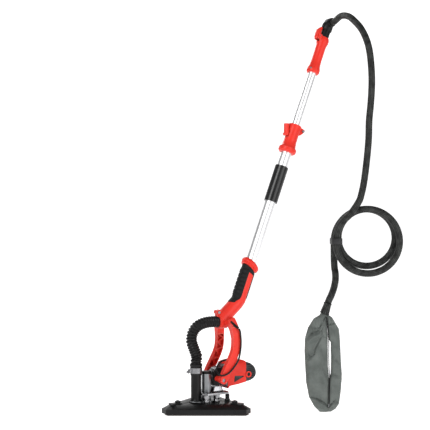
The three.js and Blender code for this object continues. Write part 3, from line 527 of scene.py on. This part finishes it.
RED = (0.78, 0.035, 0.022)
BLACK = (0.005, 0.005, 0.0053)
MATERIALS = {
    "red_plastic": moulded_plastic("red_plastic", RED, (0.9, 0.28, 0.2), 0.34),
    "black_plastic": moulded_plastic("black_plastic", BLACK, (0.03, 0.03, 0.03), 0.4),
    "black_gloss": gloss_plastic("black_gloss", (0.006, 0.006, 0.0064)),
    "grip_rubber": soft_rubber("grip_rubber", (0.006, 0.006, 0.0063)),
    "hose_rubber": soft_rubber("hose_rubber", (0.005, 0.005, 0.0052), 0.36),
    "polished_tube": drawn_metal("polished_tube", (0.88, 0.88, 0.89), 0.36, 0.97),
    "cast_metal": cast_metal("cast_metal", (0.27, 0.28, 0.29), 0.36, 420, 0.00012),
    "bright_metal": cast_metal("bright_metal", (0.3, 0.3, 0.31), 0.2, 160, 0.00004),
    "steel": cast_metal("steel", (0.24, 0.24, 0.25), 0.28, 900, 0.00003),
    "winding_copper": wound_copper("winding_copper"),
    "hose_braid": braided_sleeve("hose_braid"),
    "bag_cloth": woven_cloth("bag_cloth", (0.066, 0.076, 0.07), (0.145, 0.16, 0.15)),
    "abrasive": grit("abrasive", (0.06, 0.04, 0.03), 1600, 0.0003),
    "pad_foam": grit("pad_foam", (0.05, 0.05, 0.052), 900, 0.0002),
}


def paint(piece, slot):
    """Gives a piece the material of one of the record's slots."""
    piece.data.materials.clear()
    piece.data.materials.append(MATERIALS[slot])
    return piece


# ---------------------------------------------------------------- CAD nodes that keep their shape
NODE_SLOTS = {
    "red_plastic": [
        "yoke_near_half", "yoke_far_half", "neck_collar", "clamp_body", "clamp_lever", "top_grip",
        "hose_latch", "motor_housing",
    ],
    "black_plastic": [
        "head_cover", "corner_guard_1", "corner_guard_2", "corner_guard_3", "dust_port", "hose_cuff",
        "gimbal_block", "spindle_cap", "brush_cap_near", "brush_cap_far", "cooling_fan", "tube_bushing",
        "swivel_collar", "hose_elbow", "power_switch", "speed_dial", "power_inlet",
    ],
    "black_gloss": ["hand_sleeve"],
    "hose_rubber": ["bumper_near", "bumper_far", "cable_gland"],
    "polished_tube": ["lower_tube", "upper_tube"],
    "cast_metal": ["base_flange", "gear_housing", "motor_flange"],
    "bright_metal": ["cradle"],
    "steel": [
        "hose_clamp_band", "pivot_bolt_near", "pivot_bolt_far", "clamp_bolt", "latch_pin",
        "socket_screw", "spindle_bearing", "drive_spindle", "bevel_gear",
    ],
    "winding_copper": ["armature", "motor_stator"],
    "abrasive": ["abrasive_sheet"],
    "pad_foam": ["pad_plate"],
}
SMOOTH_ANGLE = math.radians(34)  # faces that meet at less than this are one round surface


def smooth_by_angle():
    """Node group that shades round surfaces smoothly and keeps their edges sharp."""
    group = bpy.data.node_groups.new("smooth_by_angle", "GeometryNodeTree")
    group.interface.new_socket("Geometry", in_out="INPUT", socket_type="NodeSocketGeometry")
    group.interface.new_socket("Geometry", in_out="OUTPUT", socket_type="NodeSocketGeometry")
    start = group.nodes.new("NodeGroupInput")
    end = group.nodes.new("NodeGroupOutput")
    angle = group.nodes.new("GeometryNodeInputMeshEdgeAngle")
    gentle = group.nodes.new("FunctionNodeCompare")
    gentle.operation = "LESS_THAN"
    gentle.inputs["B"].default_value = SMOOTH_ANGLE
    faces = group.nodes.new("GeometryNodeSetShadeSmooth")
    edges = group.nodes.new("GeometryNodeSetShadeSmooth")
    edges.domain = "EDGE"
    group.links.new(start.outputs[0], faces.inputs["Geometry"])
    group.links.new(faces.outputs[0], edges.inputs["Geometry"])
    group.links.new(angle.outputs["Unsigned Angle"], gentle.inputs["A"])
    group.links.new(gentle.outputs["Result"], edges.inputs["Shade Smooth"])
    group.links.new(edges.outputs[0], end.inputs[0])
    return group


ROUND_SHADING = smooth_by_angle()
BEVELLED = {
    "motor_housing": 0.0012, "gimbal_block": 0.0012, "motor_flange": 0.0006, "neck_collar": 0.0008,
    "spindle_cap": 0.0006, "head_cover": 0.0008, "cradle": 0.0008, "hose_latch": 0.0008,
    "clamp_lever": 0.001, "bumper_near": 0.0006, "bumper_far": 0.0006, "hose_elbow": 0.0006,
}


def refine(piece, bevel=None):
    """Joins split vertices, rounds sharp edges where asked, and shades by angle."""
    weld = piece.modifiers.new("weld", "WELD")
    weld.merge_threshold = 0.00001
    if bevel:
        rounding = piece.modifiers.new("bevel", "BEVEL")
        rounding.width = bevel
        rounding.segments = 2
        rounding.limit_method = "ANGLE"
        rounding.angle_limit = SMOOTH_ANGLE
        rounding.use_clamp_overlap = True
    shading = piece.modifiers.new("shading", "NODES")
    shading.node_group = ROUND_SHADING


def finish_cad_nodes():
    for slot, names in NODE_SLOTS.items():
        for name in names:
            refine(nodes[name], BEVELLED.get(name))
            paint(nodes[name], slot)


finish_cad_nodes()
paint(long_hose, "hose_braid")


# ---------------------------------------------------------------- ribbed grip
NECK_LINE = [
    (54, 0, 289), (66, 0, 299.5), (92, 0, 322.6), (108, 0, 337), (118.5, 0, 347.5), (124.5, 0, 360),
    (134.5, 0, 384.9), (145.3, 0, 412.9), (163.4, 0, 459.5),
]
NECK_END_AT = 13  # distance along the pole of the sixth point
GRIP_RADIUS = 24.3
GRIP_INNER = 20.9
STRIPE_RADIUS = 23.7
COLLAR_FACE = 109.7  # distance along the pole of the collar's lower face, in the middle
COLLAR_SLOPE = 0.488
RIB_SPACING = 14
RIB_HEIGHT = 2.2


def neck_spine():
    line = smooth_line(NECK_LINE, 1)
    along = lengths_along(line)
    neck_end = min(range(len(line)), key=lambda i: (line[i] - Vector(NECK_LINE[5])).length)
    return line, [distance - along[neck_end] + NECK_END_AT for distance in along]


SPINE_LINE, SPINE_AT = neck_spine()


def on_grip(degrees, along, radius):
    """A point round the handle: degrees from its front, and the distance along it."""
    i = next(k for k in range(1, len(SPINE_AT)) if SPINE_AT[k] >= along or k == len(SPINE_AT) - 1)
    share = (along - SPINE_AT[i - 1]) / (SPINE_AT[i] - SPINE_AT[i - 1])
    start, end = SPINE_LINE[i - 1], SPINE_LINE[i]
    ahead = (SPINE_LINE[min(i + 3, len(SPINE_LINE) - 1)] - SPINE_LINE[max(i - 4, 0)]).normalized()
    front = Vector((0, 1, 0)).cross(ahead)
    angle = math.radians(degrees)
    outward = front * (radius * math.cos(angle)) + Vector((0, radius * math.sin(angle), 0))
    return start.lerp(end, share) + outward


def ease(share):
    """Goes smoothly from 0 to 1 as share does."""
    share = min(1.0, max(0.0, share))
    return share * share * (3 - 2 * share)


def collar_edge(degrees):
    return COLLAR_FACE - COLLAR_SLOPE * GRIP_RADIUS * math.cos(math.radians(degrees))


def grip_patch(bm, place, columns, rows, inner):
    """A closed slab of rubber. place(a, b) gives degrees, distance along and radius for a, b in 0 to 1."""
    sheets = []
    for depth in (False, True):
        sheet = []
        for i in range(rows + 1):
            row = []
            for k in range(columns + 1):
                degrees, along, radius = place(k / columns, i / rows)
                edge = min(k, columns - k, i, rows - i)
                rounded = radius - (0.9 if edge == 0 else 0.25 if edge == 1 else 0)
                row.append(bm.verts.new(on_grip(degrees, along, inner if depth else rounded)))
            sheet.append(row)
        sheets.append(sheet)
    outer, under = sheets
    for i in range(rows):
        for k in range(columns):
            for sheet in sheets:
                bm.faces.new((sheet[i][k], sheet[i][k + 1], sheet[i + 1][k + 1], sheet[i + 1][k]))
    for i in range(rows):
        for k in (0, columns):
            bm.faces.new((outer[i][k], outer[i + 1][k], under[i + 1][k], under[i][k]))
    for k in range(columns):
        for i in (0, rows):
            bm.faces.new((outer[i][k], outer[i][k + 1], under[i][k + 1], under[i][k]))


def back_place(a, b):
    """The ribbed back, whose lower end follows the bend and narrows to a point on each side."""
    reach = 2 * a - 1
    low = -29 + 9 * abs(reach) ** 2
    along = low + b * (collar_edge(180 + 73 * reach) - low)
    half = 53 + 20 * ease((along + 20) / 34)
    degrees = 180 + reach * half
    phase = ((along - 19) / RIB_SPACING) % 1
    ridge = ease((0.5 - abs(phase - 0.5)) / 0.16)
    inside = ease((1 - abs(reach)) / 0.22) * ease((along - 12) / 6) * ease((108 - along) / 4)
    return degrees, along, GRIP_RADIUS + RIB_HEIGHT * ridge * inside


def front_place(a, b):
    degrees = 112 * a - 56
    return degrees, 13 + b * (collar_edge(degrees) - 13), GRIP_RADIUS


def bridge_place(side):
    """The rubber that closes over a stripe's slanting top, on one side of the handle."""
    def place(a, b):
        turn = 107 - 51 * a
        low = 97 - 6 * a
        return side * turn, low + b * (collar_edge(turn) - low), GRIP_RADIUS
    return place


def make_grip():
    bm = bmesh.new()
    grip_patch(bm, back_place, 72, 130, GRIP_INNER)
    grip_patch(bm, front_place, 40, 40, GRIP_INNER)
    for side in (-1, 1):
        grip_patch(bm, bridge_place(side), 16, 8, STRIPE_RADIUS)
    grip = piece_from("ribbed_grip", bm, TOOL)
    paint(grip, "grip_rubber")
    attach(grip, "yoke_handle")
    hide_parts("grip_overmould")


make_grip()


# ---------------------------------------------------------------- hose and cable at the head
FLEX_ROUTE = [
    (-38, 0, 139), (-38, 0, 146), (-38, 0, 152.8), (-37.8, 0, 160), (-36, 0, 176), (-44, 0, 197),
    (-54, 0, 226), (-50, 0, 252), (-35, 0, 271), (-11, 0, 281), (15, 0, 284), (40, 0, 283), (56, 0, 283),
]
FLEX_RADIUS = 18.5
FLEX_PLAIN = 14.4  # radius inside the cuff
FLEX_DEPTH = 3.6
FLEX_PITCH = 8.4
FLEX_IN_CUFF = 14.3  # length inside the cuff, where it is plain
CABLE_RADIUS = 2.8
CABLE_ROUTE = [
    (83.9, -63.8, 264), (86.8, -65, 257), (89, -65.2, 242), (90.6, -65, 220), (88, -65, 191),
    (81, -65, 165), (64, -65, 142), (45, -65, 125.5), (25, -65, 119.5), (16, -60, 121), (12.5, -50, 127),
    (15, -40, 138), (25, -32, 150), (40, -27, 158), (56, -24, 161), (70, -22, 160.5), (78, -21, 159),
]


def follow_pitch(piece):
    """Bakes the placement of a flexible line between the handle and the gimbal block into its mesh."""
    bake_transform(piece)


def make_flex_hose():
    def radius(distance, angle):
        wave = 0.5 + 0.5 * math.cos(2 * math.pi * (distance - FLEX_IN_CUFF) / FLEX_PITCH)
        if distance < FLEX_IN_CUFF:
            return FLEX_PLAIN
        return FLEX_RADIUS - FLEX_DEPTH * (1 - wave ** 0.6)

    hose = sweep("corrugated_hose", smooth_line(FLEX_ROUTE, 0.8), radius, 40, TOOL)
    paint(hose, "hose_rubber")
    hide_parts("flex_hose")
    follow_pitch(hose)


def make_cable():
    line = smooth_line(CABLE_ROUTE, 2)
    cable = sweep("motor_cord", line, lambda distance, angle: CABLE_RADIUS, 14, TOOL)
    paint(cable, "hose_rubber")
    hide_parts("motor_cable")
    follow_pitch(cable)


def make_cable_sleeve():
    """The moulded boot that the cable goes into on top of the motor."""
    line = smooth_line([(64, -23, 160.6), (74, -21.5, 159.5), (84, -19, 156)], 0.8)
    length = lengths_along(line)[-1]

    def radius(distance, angle):
        groove = 0.6 * max(0.0, math.sin(2 * math.pi * distance / 4)) if distance < 0.6 * length else 0
        return 3.6 + 1.8 * ease(distance / length) - groove

    boot = sweep("cable_boot", line, radius, 20, TOOL)
    paint(boot, "hose_rubber")
    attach(boot, "sanding_head")


make_flex_hose()
make_cable()
make_cable_sleeve()


# ---------------------------------------------------------------- small parts
def screw(name, place, body, size=4.6, slot="steel"):
    """A pan head screw with a six-sided socket; its axis is place's z and it sits on z = 0."""
    profile = [
        (0, -1.4), (0.5 * size, -1.4), (0.5 * size, 0), (size, 0), (size, 0.22 * size),
        (0.86 * size, 0.42 * size), (0.6 * size, 0.56 * size), (0.5 * size, 0.56 * size),
        (0.44 * size, 0.2 * size), (0, 0.2 * size),
    ]
    piece = turned(name, profile, 24, place)
    paint(piece, slot)
    refine(piece)
    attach(piece, body)
    return piece


def facing(point, direction, frame_matrix=TOOL):
    """A place at a point whose z axis looks along a direction, both in one of the frames."""
    turn = Vector(direction).to_track_quat("Z", "Y").to_matrix().to_4x4()
    return frame_matrix @ Matrix.Translation(point) @ turn


# Distances of the head's screws from the z axis of the head.
CORNER_SCREW_REACH = 104
CAP_SCREW_REACH = 9.5


def make_screws():
    """Three corner screws and two cap screws on the head, and one grip screw on the pole."""
    for i, degrees in enumerate((60, 180, 300)):
        angle = math.radians(degrees)
        point = (CORNER_SCREW_REACH * math.cos(angle), CORNER_SCREW_REACH * math.sin(angle), 41)
        screw("corner_screw_" + str(i + 1), facing(point, (0, 0, 1)), "sanding_head", 4.4)
    for i, degrees in enumerate((200, 20)):
        angle = math.radians(degrees)
        point = (CAP_SCREW_REACH * math.cos(angle), CAP_SCREW_REACH * math.sin(angle), 126.8)
        screw("cap_screw_" + str(i + 1), facing(point, (0, 0, 1)), "sanding_head", 3)
    outward = (math.cos(math.radians(-150)), math.sin(math.radians(-150)), 0)
    point = (22 * outward[0], 22 * outward[1], 834)
    screw("grip_screw", facing(point, outward, POLE), "upper_pole", 3.4)


def make_clamp_screw():
    """The thumb end of the worm screw, which points away from the spindle."""
    profile = [(0, -1), (4.8, -1), (5.6, 0.5), (5.6, 2.5), (4.4, 5), (2.6, 8), (1.6, 9.6), (0, 9.8)]
    knob = turned("clamp_screw", profile, 24, facing((-63.6, 0, 129.5), (-1, 0, 0)))
    paint(knob, "steel")
    refine(knob)
    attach(knob, "sanding_head")


def make_port_clip():
    """A spring clip that lies round the foot of the dust port on its near side."""
    points = []
    for degrees in range(196, 290, 9):
        angle = math.radians(degrees)
        points.append((-38 + 25.5 * math.cos(angle), 25.5 * math.sin(angle), 34.6))
    clip = sweep("port_clip", smooth_line(points, 2), lambda distance, angle: 1.9, 12, TOOL)
    paint(clip, "cast_metal")
    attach(clip, "sanding_head")


def prism(name, outline, low, high, place, body, slot, bevel=0.0006):
    """An outline in x and y pulled from low to high, with rounded edges."""
    bm = bmesh.new()
    rings = [[bm.verts.new((x, y, z)) for x, y in outline] for z in (low, high)]
    bm.faces.new(rings[0][::-1])
    bm.faces.new(rings[1])
    for k in range(len(outline)):
        after = (k + 1) % len(outline)
        bm.faces.new((rings[0][k], rings[0][after], rings[1][after], rings[1][k]))
    piece = piece_from(name, bm, place)
    paint(piece, slot)
    refine(piece, bevel)
    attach(piece, body)
    return piece


# x stays x, y goes to z, and z comes towards the near side
SIDEWAYS = TOOL @ Matrix.Rotation(math.radians(90), 4, "X")


def make_motor_plate():
    """The blank gloss badge on the near side of the motor."""
    outline = [
        (88, 108.5), (119, 106.4), (121, 104.8), (119.5, 103),
        (86, 88.4), (84, 89), (84.2, 91), (86.6, 107.4),
    ]
    prism("motor_badge", outline, 32.9, 33.7, SIDEWAYS, "sanding_head", "black_gloss", 0.0002)


FIN_START = 138  # less far back than the surface of the rear cap
FIN_HALF_THICKNESS = 1.3
# Points along the side of the rear cap: height, then how far back.
REAR_CAP_SIDE = [(88, 146), (94, 158), (103, 166), (113, 168.5), (125, 166), (136, 159), (145, 148)]


def rear_cap_reach(height):
    """How far back the motor's rear cap goes at a height."""
    for (low, x0), (high, x1) in zip(REAR_CAP_SIDE, REAR_CAP_SIDE[1:]):
        if low <= height <= high:
            return x0 + (x1 - x0) * (height - low) / (high - low)
    return REAR_CAP_SIDE[0][1]


def make_cooling_fins():
    """Level fins across the back of the motor's rear cap."""
    for i, height in enumerate(range(98, 141, 6)):
        drop = max(0, 100 - height, height - 131)
        half = 8 + math.sqrt(24 ** 2 - drop ** 2) + 0.7
        back = rear_cap_reach(height) + 1.8
        outline = [
            (FIN_START, -half), (back - 9, -half), (back - 2.5, 5 - half), (back, 14 - half),
            (back, half - 14), (back - 2.5, half - 5), (back - 9, half), (FIN_START, half),
        ]
        name = "rear_fin_" + str(i + 1)
        low, high = height - FIN_HALF_THICKNESS, height + FIN_HALF_THICKNESS
        prism(name, outline, low, high, TOOL, "sanding_head", "black_plastic")


def make_block_cover():
    """The ribbed dome of cast metal over the top of the gimbal block."""
    outer = []
    inner = []
    for k in range(13):
        angle = math.radians(15 + 150 * k / 12)
        outer.append((36.8 + 20 * math.cos(angle), 121 + 17.2 * math.sin(angle)))
        inner.append((36.8 + 18.4 * math.cos(angle), 119.5 + 14.6 * math.sin(angle)))
    prism("block_cover", outer + inner[::-1], -13, 13, SIDEWAYS, "gimbal", "cast_metal", 0.0005)
    for i in range(5):
        angle = math.radians(40 + 25 * i)
        x, z = 36.8 + 20.4 * math.cos(angle), 121 + 17.6 * math.sin(angle)
        outline = [(x - 1.2, z - 1.6), (x + 1.2, z - 1.6), (x + 1.2, z + 0.6), (x - 1.2, z + 0.6)]
        prism("cover_rib_" + str(i + 1), outline, -11.5, 11.5, SIDEWAYS, "gimbal", "black_plastic", 0.0003)


make_screws()
make_clamp_screw()
make_port_clip()
make_motor_plate()
make_cooling_fins()
make_block_cover()


# ---------------------------------------------------------------- cuff and tie on the long hose
CUFF_TOP = (386.2, -40, 350)
CUFF_BOTTOM = (374.5, -40, 314)


def make_bag_cuff():
    """The braid's loose end gathered over the bag's neck, with a rolled hem at both ends."""
    line = smooth_line([CUFF_TOP, CUFF_BOTTOM], 1)
    length = lengths_along(line)[-1]

    def radius(distance, angle):
        flare = HOSE_RADIUS + 1 + 2.2 * ease(distance / length)
        hem = 1.2 * math.exp(-((min(distance, length - distance) - 3) / 1.6) ** 2)
        folds = 0.35 * math.sin(9 * angle) * ease(distance / length)
        closing = 4 * (1 - ease(min(distance, length - distance) / 1.5))
        return flare + hem + folds - closing

    cuff = sweep("bag_neck_cuff", line, radius, 36, HOSE_PLANE)
    paint(cuff, "hose_braid")
    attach(cuff, "hose_swivel")
    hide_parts("bag_cuff")
    return cuff


def make_hose_tie():
    """A hook and loop strap round the hose's turns."""
    bm = bmesh.new()
    inner_left, inner_right = -COIL_RADIUS - HOSE_RADIUS - 1.2, -COIL_RADIUS + HOSE_RADIUS + 8
    depth = COIL_DEPTH + HOSE_RADIUS + 1.2
    corner = 12
    centres = [
        (inner_right - corner, depth - corner, 0), (inner_left + corner, depth - corner, 90),
        (inner_left + corner, corner - depth, 180), (inner_right - corner, corner - depth, 270),
    ]
    loop = []
    for x, y, start in centres:
        for k in range(7):
            angle = math.radians(start + 15 * k)
            loop.append((x + corner * math.cos(angle), y + corner * math.sin(angle), angle))
    rows = []
    for x, y, angle in loop:
        outward = Vector((math.cos(angle), math.sin(angle), 0))
        point = Vector((x, y, 0)) + Vector(COIL_CENTRE)
        rows.append([
            bm.verts.new(point + outward * lift + Vector((0, 0, up)))
            for lift, up in [(0, -9), (1.4, -9.6), (1.8, -8), (1.8, 8), (1.4, 9.6), (0, 9)]
        ])
    for i, row in enumerate(rows):
        after = rows[(i + 1) % len(rows)]
        for k in range(len(row)):
            bm.faces.new((row[k], after[k], after[(k + 1) % len(row)], row[(k + 1) % len(row)]))
    tie = piece_from("hose_strap", bm, HOSE_PLANE)
    paint(tie, "bag_cloth")
    tie.data.materials[0] = STRAP_CLOTH
    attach(tie, "hose_swivel")
    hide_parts("hose_tie")
    return tie


STRAP_CLOTH = woven_cloth("strap_cloth", (0.015, 0.015, 0.016), (0.045, 0.045, 0.047), 500)
bag_neck_cuff = make_bag_cuff()
hose_strap = make_hose_tie()


# ---------------------------------------------------------------- dust bag
BAG_CENTRE = (371.5, -40, 0)
BAG_ROW = 2.2  # height of one row of faces
# Each row of points is height, left edge, right edge and half thickness.
WIDE_LOBE = [
    (4, -12, 13, 4), (13, -21, 14.5, 9), (22, -30, 15, 12), (51, -46, 16, 16), (97, -55, 17.5, 18),
    (117, -56, 17, 19), (150, -58, 14, 20), (192, -60, 13.5, 19), (232, -59, 13.5, 17), (242, -57.5, 13, 17),
    (271, -49, 11, 15), (300, -31, 9.5, 12), (311, -12, 13, 11), (319, -8, 12, 9),
]
NARROW_LOBE = [
    (5, 11, 24, 4), (14, 12, 38, 9), (30, 13, 49, 13), (68, 15, 54.5, 15), (113, 18, 58, 16),
    (125, 23, 58, 16), (171, 24, 55, 16), (225, 23, 52.5, 15), (234, 16, 52, 15), (267, 12, 49, 13),
    (304, 8, 27, 11), (312, 5, 15, 9),
]
FOLD_SCALE = 1.7  # all folds are made this much deeper
# Folds of the cloth: two ends across and up, how far it sinks, and how wide the fold is.
WIDE_FOLDS = [
    ((-50, 279), (-34, 271), 3.6, 2.4), ((-34, 271), (-14, 270), 3.8, 2.4), ((-14, 270), (-4, 288), 4.0, 2.6),
    ((-4, 288), (7, 311), 3.6, 2.4), ((-54, 236), (-38, 252), 5.5, 4.0), ((-38, 252), (-14, 262), 5.5, 5.0),
    ((7, 309), (-7, 262), 3.0, 2.2), ((-7, 262), (-2, 243), 3.0, 2.2), ((-2, 243), (12, 243), 2.2, 2.0),
    ((-8, 244), (-18, 226), 3.4, 2.2), ((-18, 226), (-29, 205), 4.2, 2.6), ((-29, 205), (-32, 188), 3.8, 2.2),
    ((-32, 188), (-53, 170), 3.8, 2.6), ((-3, 143), (13, 105), 3.6, 3.2), ((-46, 54), (-22, 47), 4.6, 2.4),
    ((-22, 47), (-8, 39), 4.6, 2.4), ((-8, 39), (14, 22), 4.6, 2.6), ((-52, 200), (-42, 176), 2.4, 3.0),
    ((-40, 120), (-20, 96), 1.8, 6.0), ((-6, 205), (6, 160), 1.6, 6.0),
]
NARROW_FOLDS = [
    ((14, 280), (38, 286), 4.2, 2.2), ((24, 128), (49, 115), 2.6, 3.0), ((34, 172), (46, 158), 2.4, 3.0),
    ((17, 22), (32, 39), 4.0, 2.2), ((32, 39), (45, 34), 3.6, 2.2), ((22, 232), (32, 196), 1.6, 5.0),
    ((30, 96), (46, 70), 1.6, 5.0),
]


def lobe_at(rows, height):
    """Left edge, right edge and half thickness at a height, on straight lines between the rows."""
    if height <= rows[0][0]:
        return rows[0][1:]
    for low, high in zip(rows, rows[1:]):
        if height <= high[0]:
            share = (height - low[0]) / (high[0] - low[0])
            return [a + (b - a) * share for a, b in zip(low[1:], high[1:])]
    return rows[-1][1:]


def fold_depth(folds, across, up):
    """How far the folds sink the cloth here. Each fold has a raised lip along it."""
    depth = 0.0
    here = Vector((across, up))
    for start, end, sink, width in folds:
        start, end = Vector(start), Vector(end)
        line = end - start
        share = min(1.0, max(0.0, (here - start).dot(line) / line.length_squared))
        offset = here - (start + line * share)
        taper = 0.55 + 0.45 * math.sin(math.pi * share)
        distance = offset.length / width
        side = 1 if offset.cross(line) > 0 else -1
        depth += FOLD_SCALE * taper * sink * math.exp(-distance ** 2)
        depth -= FOLD_SCALE * taper * 0.5 * sink * math.exp(-(distance - 1.9 * side) ** 2)
    return depth


def rumple(across, up, side):
    """Soft uneven swelling of the cloth, with long folds that run down from the neck."""
    swell = noise_at(Vector((across / 34, side * 7.3, up / 60))) * 3.4
    small = noise_at(Vector((across / 11, side * 3.1 + 5, up / 26))) * 1.3
    fine = noise_at(Vector((across / 4.5, side * 2 + 9, up / 9))) * 0.35
    reach = ease((up - 215) / 90)
    gathers = 1.5 * reach * math.sin(0.62 * across + 0.04 * up + side)
    return swell + small + fine + gathers


def lobe(bm, rows, folds, points=84):
    """A closed, flattened tube of cloth whose edges follow the rows."""
    count = round((rows[-1][0] - rows[0][0]) / BAG_ROW)
    rings = []
    for i in range(count + 1):
        up = rows[0][0] + (rows[-1][0] - rows[0][0]) * i / count
        left, right, thick = lobe_at(rows, up)
        middle, half = (left + right) / 2, (right - left) / 2
        closing = ease(min(i, count - i) / 5)
        ring = []
        for k in range(points):
            angle = 2 * math.pi * k / points
            wide, deep = math.cos(angle), math.sin(angle)
            across = middle + half * wide
            side = -1 if deep < 0 else 1
            flat = abs(deep) ** 0.72
            sunk = fold_depth(folds, across, up) if side < 0 else 0.4 * fold_depth(folds, across - 9, up + 14)
            lift = flat * (thick * (0.55 + 0.45 * closing) + closing * (rumple(across, up, side) - sunk))
            edge = 0.5 * noise_at(Vector((up / 16, side, 3))) * abs(wide)
            ring.append(bm.verts.new((across + edge, side * max(0.8 * flat, lift), up)))
        rings.append(ring)
    for low, high in zip(rings, rings[1:]):
        for k in range(points):
            after = (k + 1) % points
            bm.faces.new((low[k], low[after], high[after], high[k]))
    bm.faces.new(rings[0][::-1])
    bm.faces.new(rings[-1])


def make_bag():
    bm = bmesh.new()
    lobe(bm, WIDE_LOBE, WIDE_FOLDS)
    lobe(bm, NARROW_LOBE, NARROW_FOLDS)
    bag = piece_from("bag_cloth", bm, HOSE_PLANE @ Matrix.Translation(BAG_CENTRE))
    paint(bag, "bag_cloth")
    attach(bag, "hose_swivel")
    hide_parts("dust_bag")


ZIP_LINE = [
    (8, -12, 306), (11.5, -13, 280), (13, -14, 250), (15, -13, 232), (16, -9, 222),
    (16, -8, 180), (17, -8, 140), (18, -9, 126), (18, -12, 114), (17.5, -12, 90),
    (17, -12, 60), (16.5, -11, 36), (15, -8, 20),
]


def make_bag_zip():
    """The dark coil zip along the seam, with its slider at the foot."""
    place = HOSE_PLANE @ Matrix.Translation(BAG_CENTRE)

    def radius(distance, angle):
        return 1.5 + 0.3 * math.sin(2 * math.pi * distance / 2.4)

    line = smooth_line(ZIP_LINE, 0.6)
    strip = sweep("bag_zip", line, radius, 10, place)
    paint(strip, "black_plastic")
    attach(strip, "hose_swivel")
    slider_line = smooth_line([(16, -10.5, 31), (15.2, -12, 22)], 0.5)
    slider = sweep("zip_slider", slider_line, slider_radius, 12, place, 0.6)
    paint(slider, "steel")
    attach(slider, "hose_swivel")


def slider_radius(distance, angle):
    """Widest near the middle of the slider."""
    return 2.6 - 0.12 * abs(distance - 4)


make_bag()
make_bag_zip()


# ---------------------------------------------------------------- floor and light
FLOOR_GLOW = 0.75


def make_floor():
    """A pale floor that curves up into a backdrop far behind. It gives off some light itself."""
    bm = bmesh.new()
    low, high = cad_low.z - 0.0005, cad_low.z + 6
    front, back, radius, half = -8.0, 9.0, 4.0, 16.0
    profile = [(front, low)]
    steps = 12
    for k in range(steps + 1):
        angle = math.radians(90 * k / steps)
        profile.append((back + radius * math.sin(angle), low + radius * (1 - math.cos(angle))))
    profile.append((back + radius, high))
    turn = Matrix.Rotation(math.radians(HOSE_PLANE_TURN), 4, "Z")
    rows = [[bm.verts.new(turn @ Vector((side * half, y, z))) for side in (-1, 1)] for y, z in profile]
    for before, after in zip(rows, rows[1:]):
        bm.faces.new((before[0], before[1], after[1], after[0]))
    mesh = bpy.data.meshes.new("floor")
    bm.to_mesh(mesh)
    bm.free()
    floor = link("floor", mesh)
    material, tree, shader = new_material("pale_floor", (0.93, 0.93, 0.93), 0.9)
    feed(tree, shader, "Base Color", colours(tree, noise(tree, 3), (0.92, 0.92, 0.92), (0.94, 0.94, 0.94)))
    shader.inputs["Emission Color"].default_value = (1, 1, 1, 1)
    shader.inputs["Emission Strength"].default_value = FLOOR_GLOW
    mesh.materials.append(material)


def area_light(name, across, back, up, size, power, aim):
    """A softbox placed in the hose frame, in metres from the grip, and turned towards a point."""
    data = bpy.data.lights.new(name, "AREA")
    data.shape = "RECTANGLE"
    data.size, data.size_y = size
    data.energy = power
    light = link(name, data)
    turn = Matrix.Rotation(math.radians(HOSE_PLANE_TURN), 4, "Z")
    light.location = turn @ Vector((across, back, up))
    light.rotation_euler = (aim - light.location).to_track_quat("-Z", "Y").to_euler()


def make_light():
    world = bpy.data.worlds.new("world")
    world.use_nodes = True
    background = world.node_tree.nodes["Background"]
    background.inputs["Color"].default_value = (1, 1, 1, 1)
    background.inputs["Strength"].default_value = 0.22
    bpy.context.scene.world = world
    middle = (cad_low + cad_high) / 2
    area_light("key", -1.6, -2.4, 1.9, (1.6, 1.6), 60, middle)
    area_light("fill", 2.2, -2.0, 0.9, (2.0, 2.4), 44, middle)
    area_light("back", -1.2, 2.6, 2.2, (1.6, 1.2), 30, middle)


make_floor()
make_light()
bpy.context.scene.view_settings.view_transform = "Standard"
